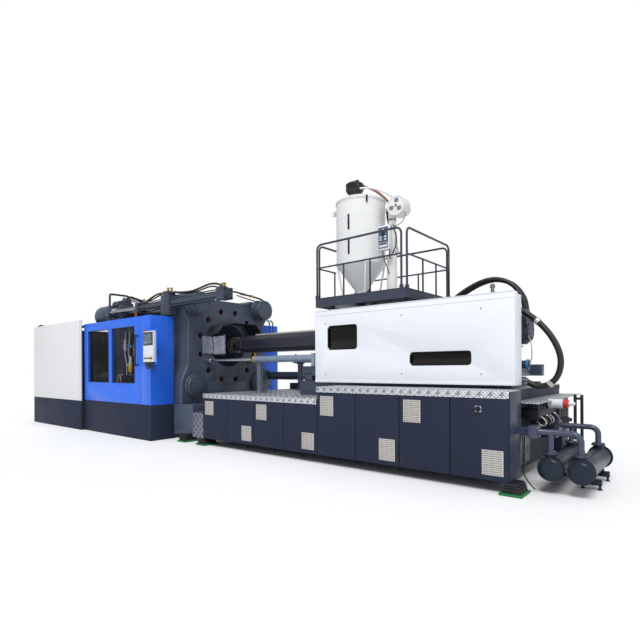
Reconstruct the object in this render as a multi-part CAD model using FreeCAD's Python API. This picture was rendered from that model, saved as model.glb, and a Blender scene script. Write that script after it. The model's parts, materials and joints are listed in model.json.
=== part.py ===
import FreeCAD, Part
import math
import os

# Large two-platen injection moulding machine, in millimetres.
# x = 0 is the injection-side face of the fixed platen and +x runs to the injection end.
# y = 0 is the machine's centre-line with the operator at -y, and the floor is z = 0.
# The whole model is moved at the end so that its origin is the bottom centre of its box.

V = FreeCAD.Vector

# ---------------------------------------------------------------- driving dimensions
AXIS_Z = 2320.0              # height of tie-bar centre, barrel and screw
RUN_GAP = 0.5                # clearance between pieces that move against each other
SLIDE_GAP = 1.0              # clearance of the platen bores on the tie bars
PAD_H = 163.0                # levelling pads
PAD_L = 300.0
PAD_W = 240.0
CORNER_PAD_W = 400.0
MIDDLE_PAD_Y = 900.0

PLATEN_T = 1000.0            # fixed platen thickness
BED_X0 = -7000.0
BED_X1 = 500.0
BED_Y_IN = 1100.0
BED_Y_OUT = 1500.0
BED_TOP = 850.0
WAY_H = 50.0
TIE_Y = 1080.0
TIE_DZ = 1030.0
TIE_R = 170.0
TIE_REAR_X = -4760.0
RING_R = 920.0               # ring of through holes in the platens
RING_HOLE_R = 75.0
RING_HOLES = 12
LOCATE_R = 125.0             # bore for the mould's locating ring
MOVING_X = -3300.0           # mould-side face of the moving platen, open position
MOVING_T = 800.0
LOCK_L = 600.0
LOCK_R = 330.0
EJECT_ROD_R = 30.0
EJECT_PITCH = 300.0

TRAV_Y = 1530.0              # upper traverse cylinder, operator side
TRAV_Z = 3350.0
TRAV_FAR_Y = 1640.0          # lower traverse cylinder, far side
TRAV_FAR_Z = 1500.0
TRAV_FAR_MOUNT_Z0 = 1180.0   # foot of the lower cylinder's mounting block
TRAV_X0 = -1840.0
TRAV_X1 = 1590.0
TRAV_R = 95.0
TRAV_ROD_R = 55.0
TRAV_PISTON_X = 300.0        # inner end of the rods with the platen open
TRAV_HEAD = 250.0            # square end blocks

# half outlines of the two castings as (y, z), from the foot up and in to the middle of the top
PLATEN_HALF = ((1480.0, BED_TOP), (1480.0, 1420.0), (1290.0, 1800.0), (1265.0, 2880.0),
               (1400.0, 3090.0), (1400.0, 3600.0), (800.0, 3600.0), (560.0, 3510.0))
MOVING_HALF = ((1330.0, BED_TOP + WAY_H + RUN_GAP), (1330.0, 1420.0), (1240.0, 1700.0),
               (1240.0, 2950.0), (1330.0, 3090.0), (1330.0, 3600.0), (800.0, 3600.0), (560.0, 3450.0))

PLINTH_T = 130.0
COVER_X0 = -7310.0
COVER_X1 = -3800.0
COVER_Y = 2220.0
COVER_Z0 = 820.0
COVER_Z1 = 3120.0
COVER_PLINTH_T = 60.0
PANEL_T = 40.0               # depth of a folded cover panel
SKIN = 4.0
GUARD_X0 = -3770.0
GUARD_X1 = -275.0
GUARD_Y = 2130.0
GUARD_Z0 = 850.0
GUARD_Z1 = 3000.0
GUARD_T = 60.0
GATE_X1 = -705.0
GUARD_END_Y = BED_Y_OUT       # the guard's end panels close on the bed
RAIL_T = 60.0
RAIL_X0 = -6400.0
WINDOW_Z0 = 1370.0
WINDOW_Z1 = 2770.0
WINDOWS_X = ((-3510.0, -2340.0), (-2150.0, -1006.0))
PANE_T = 8.0
PANEL_X0 = -420.0            # control panel
PANEL_X1 = 20.0
PANEL_Z0 = 1880.0
PANEL_Z1 = 2600.0
PANEL_DEPTH = 70.0
PLATE_T = 30.0
PANEL_FRONT = -GUARD_Y - PLATE_T - PANEL_DEPTH
BUTTON_Z = 1965.0
BUTTON_R = 20.0

BASE_X0 = 1220.0
BASE_X1 = 7850.0
BASE_Y = 1700.0
BASE_Z0 = PAD_H
STEP_X = 4520.0              # where the deck rises
DECK_LOW = 1160.0
DECK_HIGH = 1380.0
DECK_T = 10.0
SKIRT_H = 100.0
SKIRT_T = 5.0
WALL = 60.0
DOOR_T = 29.5
DOORS = 8
DOOR_SEAM = 6.0              # from a door's edge to the seam line
ISOLATOR_Z = 1130.0
END_COLUMN = 500.0           # width of the folded column at the injection end
END_RECESS = 150.0
TAIL_Z = 1200.0
TAIL_X1 = 8080.0

RAIL_Y = 750.0               # carriage rails
RAIL_W = 160.0
RAIL_START = 3330.0
RAIL_END = 7600.0
RAIL_TOP = 1450.0
SHOE_H = 100.0
SHOE_L = 200.0
FRAME_X0 = 3400.0
FRAME_X1 = 7650.0
FRAME_H = 200.0
FRAME_TOP = RAIL_TOP + RUN_GAP + SHOE_H + FRAME_H

BARREL_X0 = -100.0
BARREL_R = 150.0
BORE_R = 100.0
NOZZLE_TIP = -420.0
HOUSING_X0 = 4000.0
HOUSING_X1 = 4620.0
HOUSING_W = 1040.0
HOUSING_TOP = 2800.0
SCREW_TIP = 780.0
INJ_Y = 380.0
INJ_R = 150.0
INJ_ROD_R = 80.0
INJ_X1 = 6200.0
CROSS_X0 = 6800.0
CROSS_T = 250.0
SHANK_R = 72.0
SPLINE_R = 45.0
REAR_X0 = 7150.0
REAR_T = 150.0
MOTOR_R = 235.0
MOTOR_X1 = 7660.0
PORT_X1 = 7650.0             # block with the motor's oil ports
PORT_TOP = 2520.0
ARCH_START_Z = 2470.0        # top of the cylinders' port block
PULL_Y = 700.0
PULL_Z = 1920.0
PULL_R = 75.0
PULL_ROD_R = 35.0
PULL_X0 = 1750.0
PULL_X1 = 3600.0
POST_X = 1960.0              # round posts under the pull cylinders
GUARD_BARREL_X0 = 820.0
GUARD_BARREL_X1 = 3930.0
GUARD_BARREL_W = 300.0
GUARD_BARREL_H = 200.0

INJ_COVER_X0 = 3930.0
INJ_COVER_X1 = 7720.0
FAR_COVER_X1 = 7050.0        # the far cover is shorter
INJ_COVER_Y = 1050.0
INJ_COVER_Z0 = 1433.0
INJ_COVER_Z1 = 2820.0
INJ_COVER_T = 30.0
INJ_WINDOWS = ((4250.0, 4930.0, 2060.0, 2510.0, 45.0), (6020.0, 7070.0, 1745.0, 1960.0, 30.0))

PLAT_X0 = 3880.0
PLAT_X1 = 5900.0
PLAT_Y0 = -970.0
PLAT_Y1 = 930.0
PLAT_Z0 = 2910.0
PLAT_Z1 = 3090.0
PLAT_DECK_Z = 2960.0
RAIL_TUBE = 40.0
RAIL_MID_Z = 3690.0
RAIL_TOP_Z = 4150.0
RAIL_BEND = 110.0
HOPPER_X = 4310.0
HOPPER_R = 510.0
HOPPER_Z0 = 3830.0
HOPPER_Z1 = 5110.0
HOPPER_WALL = 8.0
THROAT_R = 110.0
CONE_Z0 = 3290.0
LID_TOP = HOPPER_Z1 + 95.0
LOADER_X = HOPPER_X - 150.0
HEATER_X = 5055.0
HEATER_R = 100.0
HEATER_TOP = 3950.0
NECK_R = 62.0
BLOWER_X = 5235.0
BLOWER_R = 190.0
BLOWER_Z = 4860.0

COOLER_R = 158.0
COOLER_Z = 350.0
COOLERS_X = (8260.0, 8620.0)
COOLER_Y0 = -1390.0
COOLER_Y1 = 100.0
COOLER_FEET_Y = (-700.0, -40.0)
FOOT_Z0 = 65.0
FOOT_Z1 = 140.0
PIPE_R = 40.0
PIPES = ((-1330.0, 830.0), (-100.0, 800.0))


# ---------------------------------------------------------------- shape helpers
def box(x0, x1, y0, y1, z0, z1):
    return Part.makeBox(x1 - x0, y1 - y0, z1 - z0, V(x0, y0, z0))


def rod(axis, start, end, across, radius):
    """Cylinder along an axis; across holds its other two coordinates."""
    if axis == "x":
        return Part.makeCylinder(radius, end - start, V(start, *across), V(1, 0, 0))
    if axis == "y":
        return Part.makeCylinder(radius, end - start, V(across[0], start, across[1]), V(0, 1, 0))
    return Part.makeCylinder(radius, end - start, V(across[0], across[1], start), V(0, 0, 1))


def prism_x(outline, x0, x1):
    """Solid from a (y, z) outline."""
    points = [V(x0, y, z) for y, z in outline]
    face = Part.Face(Part.makePolygon(points + points[:1]))
    return face.extrude(V(x1 - x0, 0, 0))


def round_x_edges(shape, radius, test):
    """Rounds the straight edges along x whose middle passes the test."""
    edges = []
    for edge in shape.Edges:
        ends = [vertex.Point for vertex in edge.Vertexes]
        if len(ends) != 2:
            continue
        span = ends[1] - ends[0]
        if abs(span.y) + abs(span.z) < 0.01 and test(ends[0].y, ends[0].z):
            edges.append(edge)
    return shape.makeFillet(radius, edges)


def mirrored(shape):
    return shape.mirror(V(0, 0, 0), V(0, 1, 0))


def fused(shapes):
    body = shapes[0].fuse(shapes[1:])
    return body.removeSplitter()


def group(shapes):
    return Part.Compound(shapes)


def both_sides(shape):
    return group([shape, mirrored(shape)])


def hose(points, diameter, name="", bend=None):
    """Tube of straight runs joined by tangent arcs; prints its radii and its volume error."""
    points = [V(*p) for p in points]
    edges = []
    radii = []
    last = points[0]
    for before, here, after in zip(points, points[1:], points[2:]):
        back = before - here
        ahead = after - here
        turn = math.pi - back.getAngle(ahead)
        trim = 0.45 * min(back.Length, ahead.Length)
        if bend:
            trim = bend * math.tan(turn / 2)
        radius = trim / math.tan(turn / 2)
        radii.append(round(radius))
        start = here + back.normalize() * trim
        end = here + ahead.normalize() * trim
        to_centre = (back + ahead).normalize()
        middle = here + to_centre * (radius / math.cos(turn / 2) - radius)
        edges.append(Part.LineSegment(last, start).toShape())
        edges.append(Part.Arc(start, middle, end).toShape())
        last = end
    edges.append(Part.LineSegment(last, points[-1]).toShape())
    wire = Part.Wire(edges)
    direction = (points[1] - points[0]).normalize()
    section = Part.Wire(Part.makeCircle(diameter / 2, points[0], direction))
    tube = wire.makePipeShell([section], True, False)
    if name:
        expected = math.pi * diameter ** 2 / 4 * wire.Length
        print(name, "radii", radii, "volume error", round(tube.Volume / expected - 1, 5))
    return tube


def ring_points(count, radius, centre, first=0.0):
    """(y, z) places on a circle."""
    for index in range(count):
        angle = math.radians(first + 360.0 / count * index)
        yield centre[0] + radius * math.cos(angle), centre[1] + radius * math.sin(angle)


TIE_POINTS = [(side * TIE_Y, AXIS_Z + level * TIE_DZ) for side in (-1, 1) for level in (-1, 1)]


# ---------------------------------------------------------------- clamp unit
def clamp_bed():
    """Two welded box beams tied by cross members, with the hardened ways on top."""
    beam = box(BED_X0, BED_X1, BED_Y_IN, BED_Y_OUT, PAD_H, BED_TOP)
    pocket = box(BED_X0 + WALL, BED_X1 - WALL, BED_Y_IN + WALL, BED_Y_OUT - WALL,
                 PAD_H + WALL, BED_TOP - WALL)
    way_inset = 80.0
    way = box(BED_X0 + way_inset, -PLATEN_T - way_inset, BED_Y_IN + way_inset,
              BED_Y_OUT - way_inset, BED_TOP, BED_TOP + WAY_H)
    side = beam.cut(pocket).fuse(way)
    ties = []
    for x in (BED_X0, -5200.0, -3000.0, -PLATEN_T):
        ties.append(box(x, x + 200.0, -BED_Y_IN, BED_Y_IN, PAD_H + 100.0, BED_TOP - 200.0))
    return fused([side, mirrored(side)] + ties)


def pad_places():
    bed_y = (BED_Y_IN + BED_Y_OUT) / 2 + 60.0
    for x in (BED_X0 + 400.0, -4900.0, -2700.0):
        yield x, bed_y, PAD_W
    yield BED_X1 - 100.0, BED_Y_OUT + 60.0, CORNER_PAD_W
    for x in (3500.0, 5700.0):
        yield x, MIDDLE_PAD_Y, PAD_W
    for x in (BASE_X0 - 70.0, BASE_X1 + 20.0):
        yield x, BASE_Y - 120.0, CORNER_PAD_W


def levelling_pads():
    """Wedge levelling mounts: a wide cast foot with a narrower wedge block on it."""
    foot_h = 70.0
    inset = 35.0
    pads = []
    for x, y, width in pad_places():
        for side in (-1, 1):
            foot = box(x - PAD_L / 2, x + PAD_L / 2, side * y - width / 2, side * y + width / 2, 0, foot_h)
            block = box(x - PAD_L / 2 + inset, x + PAD_L / 2 - inset,
                        side * y - width / 2 + inset, side * y + width / 2 - inset, foot_h, PAD_H)
            pads.append(foot.fuse(block).removeSplitter())
    return group(pads)


def platen_body(half, x0, x1, corner, edge):
    outline = list(half) + [(-y, z) for y, z in reversed(half)]
    body = prism_x(outline, x0, x1)
    lowest = min(z for y, z in half)
    body = round_x_edges(body, corner, lambda y, z: z > lowest + 1)
    front = [e for e in body.Edges
             if abs(e.BoundBox.XMin - x1) < 0.01 and abs(e.BoundBox.XMax - x1) < 0.01
             and e.BoundBox.ZMax > lowest + 1]
    return body.makeFillet(edge, front)


def ring_holes(x0, x1):
    holes = []
    for y, z in ring_points(RING_HOLES, RING_R, (0, AXIS_Z), 15.0):
        holes.append(rod("x", x0, x1, (y, z), RING_HOLE_R))
    return holes


def fixed_platen():
    """Cast platen with tie-bar bores, the ring of core holes and the nozzle recess."""
    body = platen_body(PLATEN_HALF, -PLATEN_T, 0, 120.0, 45.0)
    cuts = ring_holes(-PLATEN_T - 1, 1)
    for y, z in TIE_POINTS:
        cuts.append(rod("x", -PLATEN_T - 1, 1, (y, z), TIE_R + RUN_GAP))
    recess_depth = 620.0
    mouth_r = 560.0
    throat_r = 260.0
    cuts.append(Part.makeCone(throat_r, mouth_r, recess_depth, V(-recess_depth, 0, AXIS_Z), V(1, 0, 0)))
    cuts.append(rod("x", -PLATEN_T - 1, -recess_depth + 1, (0, AXIS_Z), LOCATE_R))
    return body.cut(cuts)


def tie_bars():
    """Four bars from the fixed platen's outer face to the open position of the lock housings."""
    return group([rod("x", TIE_REAR_X, 0, place, TIE_R) for place in TIE_POINTS])


def clamp_cylinders():
    """Pressure-cylinder covers on the outer face: long caps above, flat flanges below."""
    flange_r = 300.0
    caps = []
    for y, z in TIE_POINTS:
        upper = z > AXIS_Z
        cover = rod("x", 0, 60.0, (y, z), flange_r)
        if upper:
            cover = cover.fuse(rod("x", 60.0, 300.0, (y, z), 270.0))
        else:
            cover = cover.fuse(rod("x", 60.0, 95.0, (y, z), 240.0))
        caps.append(cover)
    return group(caps)


def traverse_place(near):
    if near:
        return -TRAV_Y, TRAV_Z
    return TRAV_FAR_Y, TRAV_FAR_Z


def traverse_cylinders():
    """Tie-rod cylinders: tube, four tie rods and square heads, clamped to the fixed platen."""
    units = []
    half = TRAV_HEAD / 2
    head_l = 150.0
    bore_r = TRAV_R - 20.0
    for near in (True, False):
        y, z = traverse_place(near)
        side = -1 if near else 1
        inner = PLATEN_HALF[4][0] if near else PLATEN_HALF[0][0]
        outer = abs(y) + half
        block_z = (3035.0, 3540.0) if near else (TRAV_FAR_MOUNT_Z0, z + half)
        mount = box(-590.0, -230.0, min(side * inner, side * outer), max(side * inner, side * outer), *block_z)
        tube = rod("x", TRAV_X0, TRAV_X1, (y, z), TRAV_R)
        head = box(TRAV_X0, TRAV_X0 + head_l, y - half, y + half, z - half, z + half)
        tail = box(TRAV_X1, TRAV_X1 + 280.0, y - half, y + half, z - half, z + half)
        rods = []
        for dy in (-1, 1):
            for dz in (-1, 1):
                rods.append(rod("x", TRAV_X0, TRAV_X1 + 10.0, (y + dy * 97.0, z + dz * 97.0), 14.0))
        unit = fused([tube, mount, head, tail] + rods)
        unit = unit.cut(rod("x", TRAV_X0 - 1, TRAV_X1 + 100.0, (y, z), bore_r))
        gland = rod("x", TRAV_X0, TRAV_X0 + head_l, (y, z), bore_r)
        unit = unit.fuse(gland).cut(rod("x", TRAV_X0 - 1, TRAV_X0 + head_l + 1, (y, z), TRAV_ROD_R + RUN_GAP))
        units.append(unit.removeSplitter())
    return group(units)


def traverse_rods():
    """Rods from the moving platen's lugs into the traverse cylinders."""
    rods = []
    for near in (True, False):
        y, z = traverse_place(near)
        rods.append(rod("x", MOVING_X + 180.0, TRAV_PISTON_X, (y, z), TRAV_ROD_R).fuse(
            rod("x", MOVING_X, MOVING_X + 180.0, (y, z), 110.0)))
    return group(rods)


def moving_platen():
    """Cast moving platen with locking housings behind it and lugs for the traverse rods."""
    back = MOVING_X - MOVING_T
    body = platen_body(MOVING_HALF, back, MOVING_X, 50.0, 30.0)
    shoes = []
    for side in (-1, 1):
        y0, y1 = sorted((side * (BED_Y_IN + 80.0), side * (BED_Y_OUT - 80.0)))
        shoes.append(box(back, MOVING_X - 40.0, y0, y1,
                         BED_TOP + WAY_H + RUN_GAP, BED_TOP + WAY_H + 180.0))
    locks = [rod("x", back - LOCK_L, back, (y, z), LOCK_R) for y, z in TIE_POINTS]
    lugs = []
    for near in (True, False):
        y, z = traverse_place(near)
        side = -1 if near else 1
        y0, y1 = sorted((side * 1200.0, y + side * 130.0))
        lugs.append(box(MOVING_X - 220.0, MOVING_X, y0, y1, z - 130.0, z + 130.0))
    body = fused([body] + shoes + locks + lugs)
    cuts = ring_holes(back - 1, MOVING_X + 1)
    for y, z in TIE_POINTS:
        cuts.append(rod("x", back - LOCK_L - 1, MOVING_X + 1, (y, z), TIE_R + SLIDE_GAP))
    for y, z in eject_points():
        cuts.append(rod("x", back - 1, MOVING_X + 1, (y, z), EJECT_ROD_R + RUN_GAP))
    return body.cut(cuts)


def eject_points():
    for side in (-1, 1):
        for level in (-1, 1):
            yield side * EJECT_PITCH, AXIS_Z + level * EJECT_PITCH


def ejector_crosshead():
    """Ejector plate behind the moving platen with four rods through it."""
    back = MOVING_X - MOVING_T
    x0 = back - 420.0
    plate = box(x0, x0 + 90.0, -430.0, 430.0, AXIS_Z - 430.0, AXIS_Z + 430.0)
    rods = [rod("x", x0 + 90.0, MOVING_X - 20.0, place, EJECT_ROD_R) for place in eject_points()]
    return fused([plate] + rods)


# ---------------------------------------------------------------- guards and covers
def l_panel(x0, x1, y, z0, z1, thick, end_x, end_y):
    """Front panel along x with a return along y at the x end given."""
    front = box(x0, x1, -y, -y + thick, z0, z1)
    if end_x < 0:
        side = box(x0, x0 + thick, -y + thick, end_y, z0, z1)
    else:
        side = box(x1 - thick, x1, -y + thick, end_y, z0, z1)
    return front.fuse(side).removeSplitter()


def plinth_panels():
    """Dark kick panels that carry the guards and the clamp cover."""
    low = l_panel(COVER_X0, COVER_X1, COVER_Y, 0, COVER_Z0, COVER_PLINTH_T, -1, 0)
    guard = l_panel(GUARD_X0, GUARD_X1, GUARD_Y, 0, GUARD_Z0, PLINTH_T, 1, -GUARD_END_Y)
    return group([fused([low, mirrored(low)]), guard, mirrored(guard)])


def clamp_cover():
    """Folded sheet cover for one side and half the tail end of the clamp."""
    panel = l_panel(COVER_X0, COVER_X1, COVER_Y, COVER_Z0, COVER_Z1, PANEL_T, -1, -RUN_GAP)
    fold = 60.0
    hollow = box(COVER_X0 + PANEL_T + fold, COVER_X1 - fold, -COVER_Y + SKIN, -COVER_Y + PANEL_T + 1,
                 COVER_Z0 + fold, COVER_Z1 - fold)
    end_hollow = box(COVER_X0 + SKIN, COVER_X0 + PANEL_T + 1, -COVER_Y + PANEL_T + fold, -fold,
                     COVER_Z0 + fold, COVER_Z1 - fold)
    return panel.cut([hollow, end_hollow])


def guard_frame(operator_side):
    """Welded frame of one guard: fixed strip, end panel, gate rails and posts.

    The operator side has the control panel's plate, the far side an opening for the lower
    traverse cylinder.
    """
    strip_inner = -GUARD_Y + PLINTH_T
    strip = box(GATE_X1 + 5.0, GUARD_X1, -GUARD_Y, strip_inner, GUARD_Z0, GUARD_Z1)
    strip_hollow = box(GATE_X1 + 65.0, GUARD_X1 - SKIN, -GUARD_Y + SKIN, strip_inner + 1,
                       GUARD_Z0 + 60.0, GUARD_Z1 - 60.0)
    end = box(GUARD_X1 - GUARD_T, GUARD_X1, strip_inner, -GUARD_END_Y, GUARD_Z0, GUARD_Z1)
    end_hollow = box(GUARD_X1 - GUARD_T - 1, GUARD_X1 - SKIN, strip_inner + 10.0, -GUARD_END_Y - 50.0,
                     GUARD_Z0 + 60.0, GUARD_Z1 - 60.0)
    rail_y = -GUARD_Y + GUARD_T + RUN_GAP
    rails = [box(RAIL_X0, GATE_X1 + 5.0, rail_y, rail_y + RAIL_T, z, z + 70.0)
             for z in (GUARD_Z0, GUARD_Z1 - 80.0)]
    posts = [box(x, x + RAIL_T, rail_y, rail_y + RAIL_T, 0, GUARD_Z1 - 10.0)
             for x in (RAIL_X0, GUARD_X0 - RAIL_T)]
    plinth_inner = -COVER_Y + COVER_PLINTH_T
    bracket = box(RAIL_X0, RAIL_X0 + RAIL_T, plinth_inner, rail_y, 300.0, 380.0)
    shapes = [strip.cut(strip_hollow), end.cut(end_hollow), bracket] + rails + posts
    if operator_side:
        shapes.append(box(PANEL_X0 - 120.0, PANEL_X1 + 30.0, -GUARD_Y - PLATE_T, -GUARD_Y,
                          PANEL_Z0 - 60.0, PANEL_Z1 + 50.0))
        return fused(shapes)
    half = TRAV_HEAD / 2 + 20.0
    opening = box(GUARD_X1 - GUARD_T - 1, GUARD_X1 + 1, -TRAV_FAR_Y - half, -GUARD_END_Y + 1,
                  TRAV_FAR_MOUNT_Z0 - 20.0, TRAV_FAR_Z + half)
    return fused(shapes).cut(opening)


def gate(windows=True):
    """Sliding gate: a folded pan, with two window openings on the operator side."""
    z0 = GUARD_Z0 + RUN_GAP
    body = box(GUARD_X0, GATE_X1, -GUARD_Y, -GUARD_Y + GUARD_T, z0, GUARD_Z1)
    border = 45.0
    inside = -GUARD_Y + GUARD_T + 1
    skin_y = -GUARD_Y + SKIN
    cuts = []
    if windows:
        cuts += [box(x0, x1, -GUARD_Y - 1, inside, WINDOW_Z0, WINDOW_Z1) for x0, x1 in WINDOWS_X]
    cuts.append(box(GUARD_X0 + border, GATE_X1 - border, skin_y, inside, z0 + border, WINDOW_Z0 - border))
    cuts.append(box(GUARD_X0 + border, GATE_X1 - border, skin_y, inside,
                    WINDOW_Z1 + border, GUARD_Z1 - border))
    columns = ((GUARD_X0, WINDOWS_X[0][0]), (WINDOWS_X[0][1], WINDOWS_X[1][0]), (WINDOWS_X[1][1], GATE_X1))
    for x0, x1 in columns:
        cuts.append(box(x0 + border, x1 - border, skin_y, inside, WINDOW_Z0, WINDOW_Z1))
    return body.cut(cuts)


def gate_panes():
    middle = -GUARD_Y + GUARD_T / 2
    return group([box(x0, x1, middle - PANE_T / 2, middle + PANE_T / 2, WINDOW_Z0, WINDOW_Z1)
                  for x0, x1 in WINDOWS_X])


def gate_handle():
    x = -850.0
    stand = 70.0
    bar_r = 16.0
    z0, z1 = 1790.0, 2550.0
    bar = rod("z", z0, z1, (x, -GUARD_Y - stand), bar_r)
    legs = [rod("y", -GUARD_Y - stand, -GUARD_Y, (x, z), 22.0) for z in (z0 + 25.0, z1 - 25.0)]
    return fused([bar] + legs)


def button_places():
    return (("start_button", PANEL_X0 + 210.0), ("emergency_stop_button", PANEL_X0 + 370.0))


def control_panel():
    body = box(PANEL_X0, PANEL_X1, PANEL_FRONT, -GUARD_Y - PLATE_T, PANEL_Z0, PANEL_Z1)
    cuts = [rod("y", PANEL_FRONT - 1, PANEL_FRONT + 40.0, (x, BUTTON_Z), BUTTON_R * 0.6 + RUN_GAP)
            for name, x in button_places()]
    return body.cut(cuts)


def push_button(x, head_r, head_h, travel):
    """Button head standing clear of the panel by its travel, with its stem in the hole."""
    face = PANEL_FRONT - travel - RUN_GAP
    head = rod("y", face - head_h, face, (x, BUTTON_Z), head_r)
    stem = rod("y", face, PANEL_FRONT + 20.0, (x, BUTTON_Z), BUTTON_R * 0.6)
    return head.fuse(stem)


# ---------------------------------------------------------------- injection base
def door_width():
    return (BASE_X1 - BASE_X0) / DOORS


def injection_base():
    """Welded base with four cabinet bays open to the front and a stepped deck."""
    low = box(BASE_X0, STEP_X, -BASE_Y, BASE_Y, BASE_Z0, DECK_LOW - DECK_T)
    high = box(STEP_X, BASE_X1, -BASE_Y, BASE_Y, BASE_Z0, DECK_HIGH - DECK_T)
    cuts = []
    bay = 2 * door_width()
    for index in range(DOORS // 2):
        x0 = BASE_X0 + bay * index + WALL / 2
        x1 = BASE_X0 + bay * (index + 1) - WALL / 2
        x0 = x0 + (WALL / 2 if index == 0 else 0)
        x1 = x1 - (END_RECESS + WALL / 2 if index == DOORS // 2 - 1 else 0)
        top = (DECK_LOW if index < DOORS // 4 else DECK_HIGH) - DECK_T - WALL
        cuts.append(box(x0, x1, -BASE_Y - 1, BASE_Y - WALL, BASE_Z0 + WALL, top))
    open_y = BASE_Y - END_COLUMN
    cuts.append(box(BASE_X1 - END_RECESS, BASE_X1 + 1, -open_y, BASE_Y + 1, TAIL_Z - DECK_T, DECK_HIGH))
    cuts.append(box(BASE_X1 - END_RECESS, BASE_X1 + 1, -open_y, open_y, BASE_Z0 - 1, TAIL_Z - DECK_T - WALL))
    return low.fuse(high).removeSplitter().cut(cuts)


def deck_plate(x0, x1, z):
    outer = BASE_Y + DOOR_T + RUN_GAP + SKIRT_T
    top = box(x0, x1, -outer, outer, z - DECK_T, z)
    skirt = box(x0, x1, -outer, -outer + SKIRT_T, z - SKIRT_H, z - DECK_T)
    return fused([top, skirt, mirrored(skirt)])


def deck_plates():
    """Tread-plate decks with folded skirts: low, high and the low tail plate."""
    low = deck_plate(BASE_X0, STEP_X, DECK_LOW)
    high = deck_plate(STEP_X, BASE_X1, DECK_HIGH)
    open_y = BASE_Y - END_COLUMN
    high = high.cut(box(BASE_X1 - END_RECESS, BASE_X1 + 1, -open_y, BASE_Y + 200.0, 0, DECK_HIGH + 1))
    tail = box(BASE_X1 - END_RECESS, TAIL_X1, -open_y, BASE_Y, TAIL_Z - DECK_T, TAIL_Z)
    return group([low, high, tail])


def cabinet_door(index):
    """Folded door leaf; pairs meet at a centre seam and hang from the outer seams."""
    x0 = BASE_X0 + door_width() * index + DOOR_SEAM
    x1 = BASE_X0 + door_width() * (index + 1) - DOOR_SEAM
    top = (DECK_LOW if index < DOORS // 2 else DECK_HIGH) - SKIRT_H - 4.0
    z0 = BASE_Z0 + 5.0
    outer = -BASE_Y - RUN_GAP - DOOR_T
    leaf = box(x0, x1, outer, -BASE_Y - RUN_GAP, z0, top)
    border = 25.0
    return leaf.cut(box(x0 + border, x1 - border, outer + SKIN, -BASE_Y, z0 + border, top - border))


def isolator_handle():
    """Rotary isolator on the last door."""
    x = isolator_x()
    face = -BASE_Y - RUN_GAP - DOOR_T - RUN_GAP
    disc = rod("y", face - 20.0, face, (x, ISOLATOR_Z), 38.0)
    grip = box(x - 9.0, x + 9.0, face - 48.0, face - 20.0, ISOLATOR_Z - 34.0, ISOLATOR_Z + 34.0)
    return disc.fuse(grip)


def isolator_x():
    return BASE_X0 + door_width() * (DOORS - 0.5)


def step_box():
    """Tread-plate step against the end of the base."""
    x0, x1 = 830.0, BASE_X0
    y0, y1 = -BASE_Y - 35.0, -1150.0
    z0, z1 = PAD_H, 722.0
    wall = 5.0
    shell = box(x0, x1, y0, y1, z0, z1).cut(box(x0 + wall, x1 - wall, y0 + wall, y1 - wall, z0 - 1, z1 - wall))
    tread_cut = box(x0 - 1, x1 - wall, y0 + wall + 1, y1 - wall, 380.0, 420.0)
    return shell.cut(tread_cut)


def pump_motors():
    """Three electric motors with their pumps on rails, inside the first bays."""
    sets = []
    floor = BASE_Z0 + WALL
    for x in (2000.0, 3650.0, 5350.0):
        z = floor + 300.0
        motor = rod("y", -1350.0, -600.0, (x, z), 230.0)
        pump = rod("y", -600.0, -250.0, (x, z), 130.0)
        foot = box(x - 200.0, x + 200.0, -1300.0, -650.0, floor, z)
        sets.append(fused([motor, pump, foot]))
    return group(sets)


# ---------------------------------------------------------------- injection unit
def carriage_rails():
    """Two guide rails on stepped pedestals that bolt to the decks."""
    y0, y1 = RAIL_Y - RAIL_W / 2, RAIL_Y + RAIL_W / 2
    low = box(RAIL_START, STEP_X, y0, y1, DECK_LOW, RAIL_TOP)
    high = box(STEP_X, RAIL_END, y0, y1, DECK_HIGH, RAIL_TOP)
    rail = low.fuse(high).removeSplitter()
    trunk = box(BASE_X0, 3900.0, 1080.0, 1280.0, DECK_LOW, DECK_LOW + 160.0)
    return group([rail, mirrored(rail), trunk])


def support_posts():
    """Round posts under the front ends of the pull cylinders."""
    top = PULL_Z - PULL_R - RUN_GAP
    post = fused([rod("z", DECK_LOW, DECK_LOW + 30.0, (POST_X, PULL_Y), 160.0),
                  rod("z", DECK_LOW + 30.0, top - 25.0, (POST_X, PULL_Y), 72.0),
                  rod("z", top - 25.0, top, (POST_X, PULL_Y), 105.0)])
    return both_sides(post)


def pull_rods():
    """Rods anchored by ball ends on the fixed platen that pull the carriage in."""
    pull = rod("x", 60.0, 3300.0, (PULL_Y, PULL_Z), PULL_ROD_R)
    anchor = rod("x", 0, 60.0, (PULL_Y, PULL_Z), 60.0)
    return both_sides(pull.fuse(anchor))


def pull_cylinders():
    tube = rod("x", PULL_X0, PULL_X1, (PULL_Y, PULL_Z), PULL_R)
    tube = tube.cut(rod("x", PULL_X0 + 120.0, PULL_X1 - 60.0, (PULL_Y, PULL_Z), PULL_R - 15.0))
    tube = tube.cut(rod("x", PULL_X0 - 1, PULL_X0 + 121.0, (PULL_Y, PULL_Z), PULL_ROD_R + RUN_GAP))
    head = box(PULL_X1, PULL_X1 + 90.0, PULL_Y - 100.0, PULL_Y + 100.0, FRAME_TOP, PULL_Z + 100.0)
    return both_sides(tube.fuse(head))


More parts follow.
